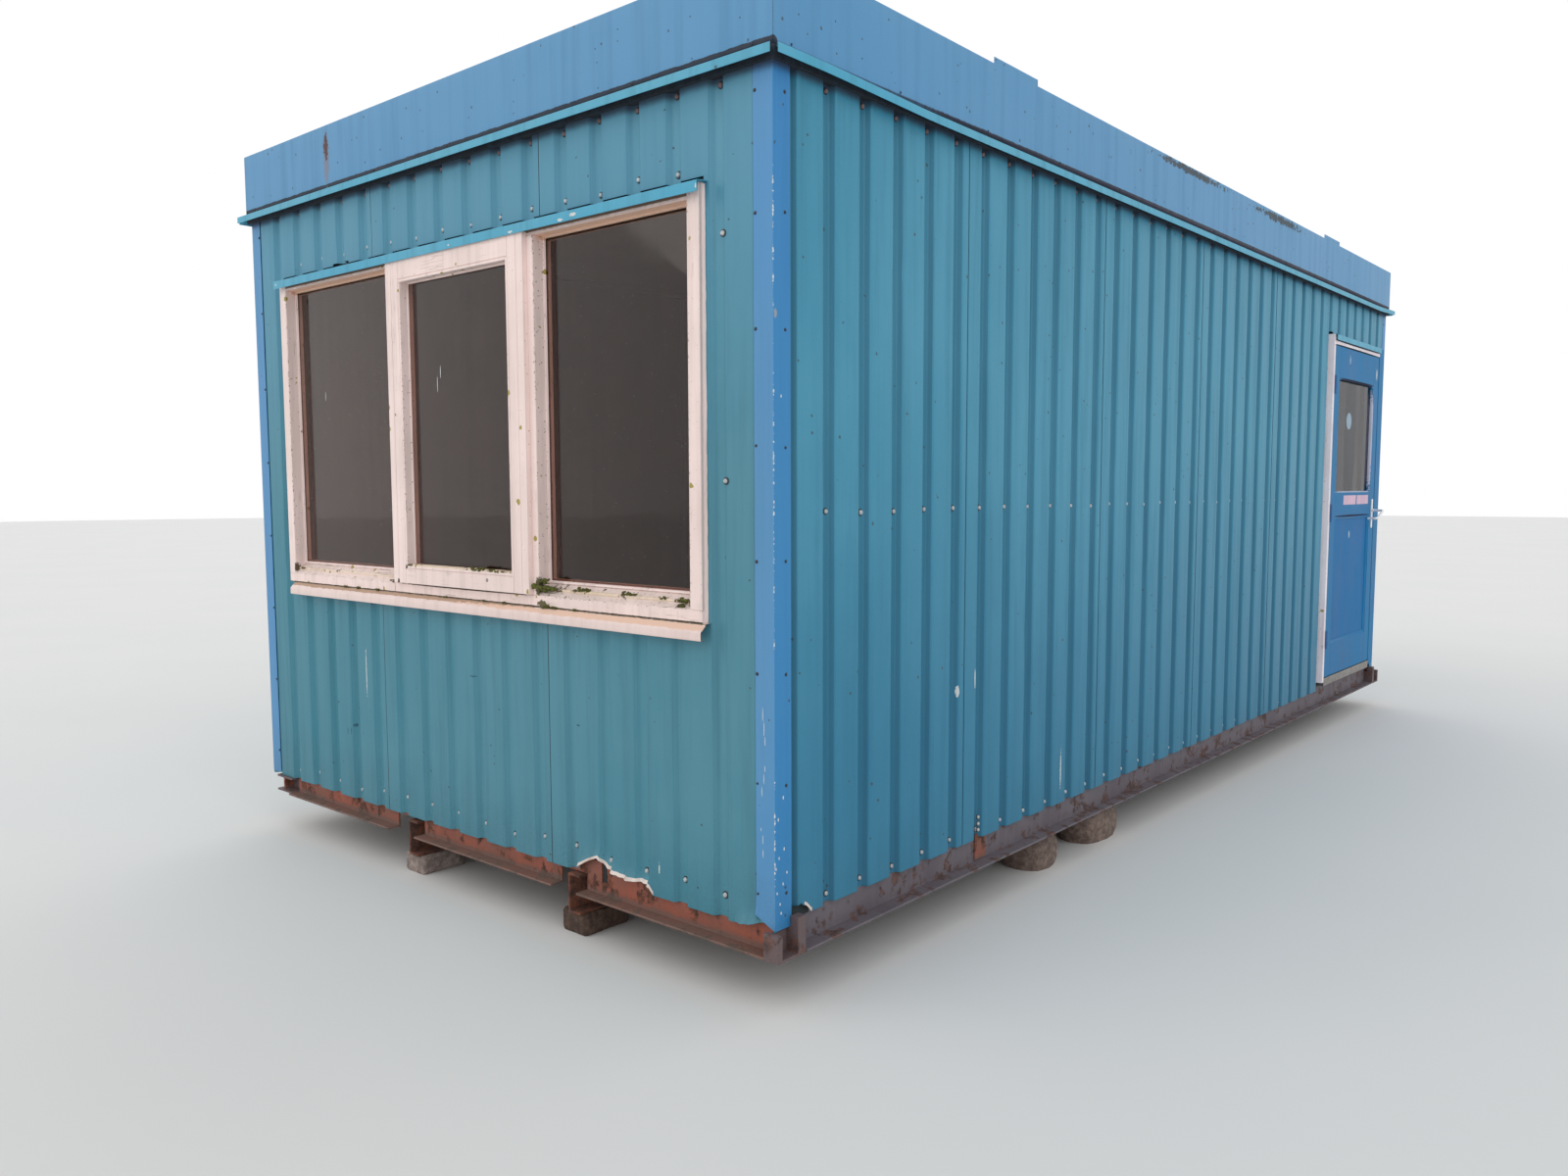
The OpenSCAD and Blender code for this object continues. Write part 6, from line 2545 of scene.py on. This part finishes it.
@dataclass
class Base:
    """Rusty base angles, skids and corner stubs on concrete blocks and stones.

    Args:
        block_left: Left edges of the left and the right blocks.
        block_width: Width of a block.
        block_rows: Both ends of the near and the far blocks, along the cabin.
        worn: Size of the worn corners of a block.
        course: Height of one row of its faces.
        rounding: How much its upper and lower edges are rounded.
        rough: Depth of its large hollows.
        fine: Depth of its small hollows.
        stone_size: Width and height of a stone.
        stone_spots: Middle, start, length and unevenness of each stone.
        stone_rows: Rows of a stone's faces.
        stone_sides: Sides of a stone.
        plates: Corners of the loose plates, each with its material slot; slot 1 is a dark box of painted shade.
    """

    block_left: tuple[float, ...] = (-0.4705, 0.4995)
    block_width: float = 0.125
    block_rows: tuple[tuple[float, float], ...] = ((-3.127, -2.927), (2.927, 3.127))
    worn: float = 0.009
    course: float = 0.008
    rounding: float = 0.005
    rough: float = 0.004
    fine: float = 0.0018
    stone_size: tuple[float, float] = (0.205, 0.155)
    stone_spots: tuple[Place, ...] = ((1.474, -1.587, 0.228, 3.0), (1.478, -1.137, 0.331, 11.0))
    stone_rows: int = 16
    stone_sides: int = 28
    plates: tuple[tuple[Triple, Triple, int], ...] = (
        ((0.640, -3.1230, 0.206), (0.708, -3.1100, 0.276), 0),
        ((0.7085, -3.1165, 0.206), (0.724, -3.1100, 0.270), 1),
        ((1.4535, -2.028, 0.166), (1.4575, -1.952, 0.262), 0),
        ((-1.449, -3.130, 0.158), (-1.436, -3.086, 0.222), 0),
        ((-1.437, -3.088, 0.158), (-1.330, -3.086, 0.222), 1),
        ((1.4522, -3.078, 0.240), (1.4534, -2.960, 0.300), 1),
    )

    def blocks(self, draw: random.Random) -> None:
        """Makes the worn concrete blocks.

        Args:
            draw: Source of chance.
        """
        shape, (_, high) = Shape(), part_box("support_blocks")
        for kind, x in enumerate(self.block_left):
            for start, end in self.block_rows:
                self.block(shape, (x, start, 0.0), (x + self.block_width, end, high[2]), draw.uniform(0, 50), kind)
        finishes = (Finish.CONCRETE, Finish.DARK_CONCRETE)
        build("rough_blocks", shape, finishes, "concrete", "support_blocks", sharp=60.0)

    def block(self, shape: Shape, low: Triple, high: Triple, seed: float, kind: int) -> None:
        """Adds one rough block.

        Args:
            shape: Where it goes.
            low: Its lowest corner.
            high: Its highest corner.
            seed: Start of its unevenness.
            kind: Its material slot.
        """
        size, middle = Vector(high) - Vector(low), (Vector(high) + Vector(low)) / 2
        w, h, c = size.x / 2, size.y / 2, self.worn
        corners = [(-w + c, -h), (w - c, -h), (w, -h + c), (w, h - c)]
        corners += [(-u, -v) for u, v in corners]
        outline = spaced([*corners, corners[0]], c)[:-1]
        rings = []
        for up in parted(0.0, size.z, max(3, round(size.z / self.course))):
            pull = self.rounding * max(0.0, 1 - min(up, size.z - up) / self.course)
            ring = []
            for u, v in outline:
                rough = self.rough * ripple((u + seed, v, up), 30.0) + self.fine * ripple((u, v + seed, up), 110.0)
                x, y = Vector((u, v)) - Vector((u, v)).normalized() * (pull + abs(rough))
                ring.append((middle.x + x, middle.y + y, low[2] + up))
            rings.append(ring)
        shape.tube(rings, kind)

    def stones(self) -> None:
        """Makes the two rounded stones under the door side."""
        shape, (width, height) = Shape(), self.stone_size
        for x, y, length, seed in self.stone_spots:
            rings = []
            for up in parted(0.0, 1.0, self.stone_rows):
                swell = math.sqrt(max(0.0, 1 - (max(0.0, up - 0.42) / 0.66) ** 2.4)) * (0.9 + 0.1 * min(1.0, up * 5))
                ring = []
                for c, s in circle(self.stone_sides):
                    square = (abs(c) ** 2.6 + abs(s) ** 2.6) ** (-1 / 2.6)
                    rough = 1 - 0.09 * abs(ripple((c + seed, s, up), 1.6))
                    rough -= 0.03 * abs(ripple((c * 3, s * 3, up * 3 + seed), 3.0))
                    reach = square * swell * rough / 2
                    ring.append((x - width / 2 + c * width * reach, y + length / 2 + s * length * reach, up * height))
                rings.append(ring)
            shape.tube(rings)
        build("rounded_stones", shape, [Finish.STONE], "concrete", "side_stones", sharp=60.0)

    def loose_plates(self) -> None:
        """Makes the small plates and brackets that show behind the sheets' lower edges, and dark boxes of painted shade
        in the gaps there.
        """
        shape = Shape()
        for low, high, kind in self.plates:
            shape.box(low, high, kind)
        # Painted shade: slot 1 gives the dark boxes the near-black gap paint.
        build("loose_plates", shape, (Finish.OXIDE_END, Finish.LAP_GAP), "red_oxide", bevel=0.001)

    @staticmethod
    def shortened(corner: Vector) -> Vector:
        """Returns a corner of the stubs, moved back where the block beside the corner angle begins."""
        near = corner.x > 1.4 and abs(abs(corner.y) - 3.090) < 0.0006
        return Vector((corner.x, corner.y - math.copysign(0.018, corner.y), corner.z)) if near else corner

    def build(self, frame: dict, draw: random.Random) -> None:
        """Makes the whole base.

        Args:
            frame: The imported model.
            draw: Source of chance.
        """
        dressed(frame, "side_angles", "base_side_beams", [Finish.OXIDE_SIDE], "red_oxide")
        dressed(frame, "end_angles", "base_end_beams", [Finish.OXIDE_END], "red_oxide")
        dressed(frame, "corner_plates", "corner_stubs", [Finish.OXIDE_STUB], "red_oxide", move=self.shortened)
        dressed(frame, "skids", "skid_channels", [Finish.SKID_RUST], "rusty_steel")
        self.blocks(draw)
        self.stones()
        self.loose_plates()


# --------------------------------------------------------------------------
# Room and roof
# --------------------------------------------------------------------------


@dataclass
class Room:
    """The lined room behind the windows and the floor under it.

    Args:
        inner: How far its lining lies behind the ribs.
        floor: Height of its floor.
        ceiling: Height of its ceiling.
        half: Half the width of a cover strip.
        strip: Thickness of a cover strip.
        skirting: Height of the skirting.
        board: Thickness of the skirting.
        trim: Size of the ceiling trim.
        door_post: Near edge of the door's frame.
        strips_end: Place along the cabin up to which its door side has cover strips.
        sill: Upper end of the cover strips under the window.
        panels: Finishes of the solids that stay visible.
    """

    inner: float = 0.081
    floor: float = 0.297
    ceiling: float = 2.630
    half: float = 0.016
    strip: float = 0.004
    skirting: float = 0.07
    board: float = 0.012
    trim: float = 0.02
    door_post: float = 1.918
    strips_end: float = 1.8
    sill: float = 1.10
    panels: tuple[tuple[Finish, tuple[str, ...]], ...] = (
        (
            Finish.LINING,
            (
                "front_wall_lower", "front_wall_upper", "front_wall_piers", "rear_wall", "left_wall", "right_wall",
                "door_lintel_wall",
            ),
        ),
        (Finish.CEILING, ("ceiling",)),
        (Finish.DECK, ("floor_deck",)),
        (Finish.JOIST, ("floor_joists",)),
    )

    def strips(self) -> None:
        """Makes the cover strips of the lining, the skirting and the ceiling trim."""
        shape, floor, ceiling, half = Shape(), self.floor, self.ceiling, self.half
        strip, board, trim, skirting = self.strip, self.board, self.trim, self.floor + self.skirting
        left, right = LEFT + self.inner, RIGHT - self.inner
        front, rear = FRONT + self.inner, REAR - self.inner
        for y in parted(front, rear, 5)[1:-1]:
            shape.box((left, y - half, floor), (left + strip, y + half, ceiling))
            if y < self.strips_end:
                shape.box((right - strip, y - half, floor), (right, y + half, ceiling))
        for x in parted(left, right, 3)[1:-1]:
            shape.box((x - half, rear - strip, floor), (x + half, rear, ceiling))
            shape.box((x - half, front, floor), (x + half, front + strip, self.sill))
        shape.box((left, front, floor), (left + board, rear, skirting))
        shape.box((left, rear - board, floor), (right, rear, skirting))
        shape.box((right - board, front, floor), (right, self.door_post, skirting))
        shape.box((left, front, ceiling - trim), (left + trim, rear, ceiling))
        shape.box((right - trim, front, ceiling - trim), (right, rear, ceiling))
        shape.box((left, rear - trim, ceiling - trim), (right, rear, ceiling))
        build("lining_strips", shape, [Finish.CEILING], "lining_board", bevel=0.001)

    def build(self, frame: dict) -> None:
        """Dresses the panels and makes their strips.

        Args:
            frame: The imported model.
        """
        for finish, nodes in self.panels:
            for node in nodes:
                dress_node(frame, node, finish)
        self.strips()


@dataclass
class Roof:
    """The flat roof inside the fascias, covered in lapped strips.

    Args:
        top: Height of the roof panel.
        strip: Width of a strip of its covering.
        skin: Thickness of the covering.
        margin: How far it goes past the ribs.
        lap: Width of a lap.
    """

    top: float = 2.842
    strip: float = 1.05
    skin: float = 0.004
    margin: float = 0.013
    lap: float = 0.09

    def build(self, frame: dict) -> None:
        """Dresses the roof panel and lays its covering.

        Args:
            frame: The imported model.
        """
        dress_node(frame, "roof_panel", Finish.ROOF_PANEL)
        shape, y, low = Shape(), FRONT - self.margin, self.top + 0.0002
        while y < REAR:
            end, rings = min(y + self.strip, REAR + self.margin), []
            for x in parted(LEFT - self.margin, RIGHT + self.margin, 24):
                high = self.top + self.skin + 0.0015 * hollow((x, y, 2.0), 2.2)
                outline = ((y, low), (y, high + 0.003), (y + self.lap, high + 0.001), (end, high), (end, low))
                rings.append([(x, along, up) for along, up in outline])
            shape.tube(rings)
            y += self.strip
        build("roof_covering", shape, [Finish.ROOF], "roof_skin")


# --------------------------------------------------------------------------
# Stage
# --------------------------------------------------------------------------


@dataclass(frozen=True)
class Viewpoint:
    """Where the camera stands and how it is turned, in degrees.

    Args:
        place: Its place.
        yaw: Turn to the left of +Y.
        pitch: Turn downward.
        roll: Turn about its own axis.
        lens: Focal length in millimetres.
    """

    place: Triple = (3.604, -5.576, 1.500)
    yaw: float = 40.622
    pitch: float = 4.926
    roll: float = -0.141
    lens: float = 26.85

    def build(self) -> None:
        """Makes the camera."""
        yaw, pitch, roll = (math.radians(angle) for angle in (self.yaw, self.pitch, self.roll))
        forward = Vector((-math.sin(yaw) * math.cos(pitch), math.cos(yaw) * math.cos(pitch), -math.sin(pitch)))
        right = forward.cross(Vector((0, 0, 1))).normalized()
        up = right.cross(forward)
        right, up = math.cos(roll) * right + math.sin(roll) * up, math.cos(roll) * up - math.sin(roll) * right
        camera = bpy.data.objects.new("camera", bpy.data.cameras.new("camera"))
        camera.data.lens, camera.data.sensor_width, camera.data.clip_end = self.lens, 36.0, 200.0
        camera.data.sensor_fit = "HORIZONTAL"
        turn = Matrix((right, up, -forward)).transposed()
        camera.matrix_world = Matrix.Translation(self.place) @ turn.to_4x4()
        bpy.context.scene.collection.objects.link(camera)
        bpy.context.scene.camera = camera


@dataclass
class Studio:
    """Pale floor, white surroundings and soft lamps.

    Args:
        reach: Radius of the floor.
        sky: Strength of the surroundings as a light.
        softness: Angle of the lamps in degrees.
        lamps: Name, way from the cabin, strength and colour of each lamp.
    """

    reach: float = 60.0
    sky: float = 0.72
    softness: float = 60.0
    lamps: tuple[tuple[str, Triple, float, Triple], ...] = (
        ("key_lamp", (-0.35, -0.75, 0.55), 0.6, (1.0, 0.97, 0.93)),
        ("side_lamp", (0.85, -0.25, 0.45), 0.56, (0.97, 0.98, 1.0)),
        ("back_lamp", (-0.6, 0.7, 0.4), 0.5, (1.0, 1.0, 1.0)),
    )

    def floor(self) -> None:
        """Makes the floor."""
        mesh = bpy.data.meshes.new("studio_floor")
        corners = [(c * self.reach, s * self.reach, -0.0005) for c, s in circle(48)]
        mesh.from_pydata(corners, [], [tuple(range(len(corners)))])
        floor = bpy.data.objects.new("studio_floor", mesh)
        bpy.context.scene.collection.objects.link(floor)
        surface = Surface("studio_floor", rgb(226, 226, 224), 0.85)
        surface.tint(surface.noise(surface.place, 0.6, 2.0), rgb(232, 231, 228))
        mesh.materials.append(surface.done(0.001))

    def world(self) -> None:
        """Makes the surroundings: white to look at and a little dimmer as a light."""
        world = bpy.data.worlds.new("studio")
        bpy.context.scene.world = world
        world.use_nodes = True
        world.node_tree.nodes.clear()
        s = Sketch(world.node_tree)
        path = s.add("ShaderNodeLightPath", {}).outputs
        seen = s.math("MAXIMUM", path["Is Glossy Ray"], path["Is Transmission Ray"])
        seen = s.math("MAXIMUM", path["Is Camera Ray"], seen)
        soft = s.add("ShaderNodeBackground", {"Color": (0.95, 0.97, 1.0, 1.0), "Strength": self.sky})
        white = s.add("ShaderNodeBackground", {"Color": (1.0, 1.0, 1.0, 1.0), "Strength": 1.0})
        both = s.add("ShaderNodeMixShader", {0: seen, 1: soft.outputs[0], 2: white.outputs[0]})
        s.add("ShaderNodeOutputWorld", {"Surface": both.outputs[0]})

    def lamp(self, name: str, towards: Triple, strength: float, colour: Triple) -> None:
        """Makes one very soft far lamp.

        Args:
            name: Name of the lamp.
            towards: Way from the cabin to the lamp.
            strength: Its strength.
            colour: Its colour.
        """
        lamp = bpy.data.lights.new(name, "SUN")
        lamp.angle, lamp.energy, lamp.color = math.radians(self.softness), strength, colour
        holder = bpy.data.objects.new(name, lamp)
        holder.location = Vector(towards) * 10
        holder.rotation_mode = "QUATERNION"
        holder.rotation_quaternion = (-Vector(towards)).to_track_quat("-Z", "Y")
        bpy.context.scene.collection.objects.link(holder)

    def build(self) -> None:
        """Sets up the studio."""
        self.floor()
        self.world()
        for lamp in self.lamps:
            self.lamp(*lamp)
        bpy.context.scene.view_settings.view_transform = "Standard"


# --------------------------------------------------------------------------
# The whole cabin
# --------------------------------------------------------------------------

TORN = (
    (-0.880, -0.001), (-0.868, 0.019), (-0.800, 0.056), (-0.762, 0.071), (-0.742, 0.046),
    (-0.725, 0.037), (-0.640, 0.030), (-0.536, 0.029), (-0.520, 0.020), (-0.512, -0.001),
)
CURLED = ((-0.160, -0.001), (-0.158, 0.004), (-0.104, 0.012), (-0.045, 0.026), (-0.008, 0.026))
SIDE_HOLE = ((0.056, 0.030), (0.074, 0.030), (0.100, 0.031), (0.118, 0.037), (0.123, 0.029), (0.130, 0.028))
SIDE_TEAR = ((0.130, 0.028), (0.137, 0.026), (0.150, 0.012), (0.163, -0.001))
OVER_POST = ((5.050, 0.013), (5.092, 0.014), (5.100, 0.006), (5.106, -0.001))


def flipped(outline: Sequence[tuple[float, float]], corner: float) -> tuple[tuple[float, float], ...]:
    """Returns an outline given back from a corner as places along the face."""
    return tuple((corner + along, up) for along, up in outline)


def build_sheeting() -> None:
    """Makes the sheets of all four faces."""
    window = (Opening(0.262, 2.738, 1.103, 2.382), Opening(0.670, 0.790, 2.382, 2.390))
    tears = (Tear(flipped(TORN, WIDTH), 0.020, True), Tear(flipped(CURLED, WIDTH), 0.019, False))
    fine = {"dents": 110, "gap": 0.005, "column": 0.015, "row": 0.04, "seed": 5}
    Sheeting(FRONT_FACE, Finish.END_TEAL, Finish.END_VALLEY, openings=window, tears=tears, **fine).build()
    far = (Finish.PLAIN_TEAL, Finish.PLAIN_TEAL)
    Sheeting(REAR_FACE, *far, dents=20, seed=8).build()
    Sheeting(LEFT_FACE, *far, start=0.002, end=LENGTH - 0.002, seed=11).build()
    side = (Tear(SIDE_HOLE, 0.0, False), Tear(SIDE_TEAR, 0.010, True))
    over = (Tear(OVER_POST, 0.0, False),)
    paint = (Finish.SIDE_TEAL, Finish.SIDE_VALLEY)
    long = {"start": 0.002, "end": 5.055, "dents": 60, "gap": 0.0018, "seed": 14}
    DoorSideSheeting(RIGHT_FACE, *paint, tears=side, over_tears=over, **long).build()


def main() -> None:
    """Builds every sub-assembly of the cabin, then the studio."""
    logging.basicConfig(level=logging.INFO, format="%(message)s")
    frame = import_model()
    draw = random.Random(20)
    Viewpoint().build()
    build_sheeting()
    CornerAngles().build()
    RoofEdge().build()
    HeadFlashings().build()
    screws = Screws()
    for face in FACES:
        screws.build(face, draw)
    Window().build(frame, draw)
    Door().build(frame)
    Base().build(frame, draw)
    Room().build(frame)
    Roof().build(frame)
    Studio().build()


if __name__ == "__main__":
    main()
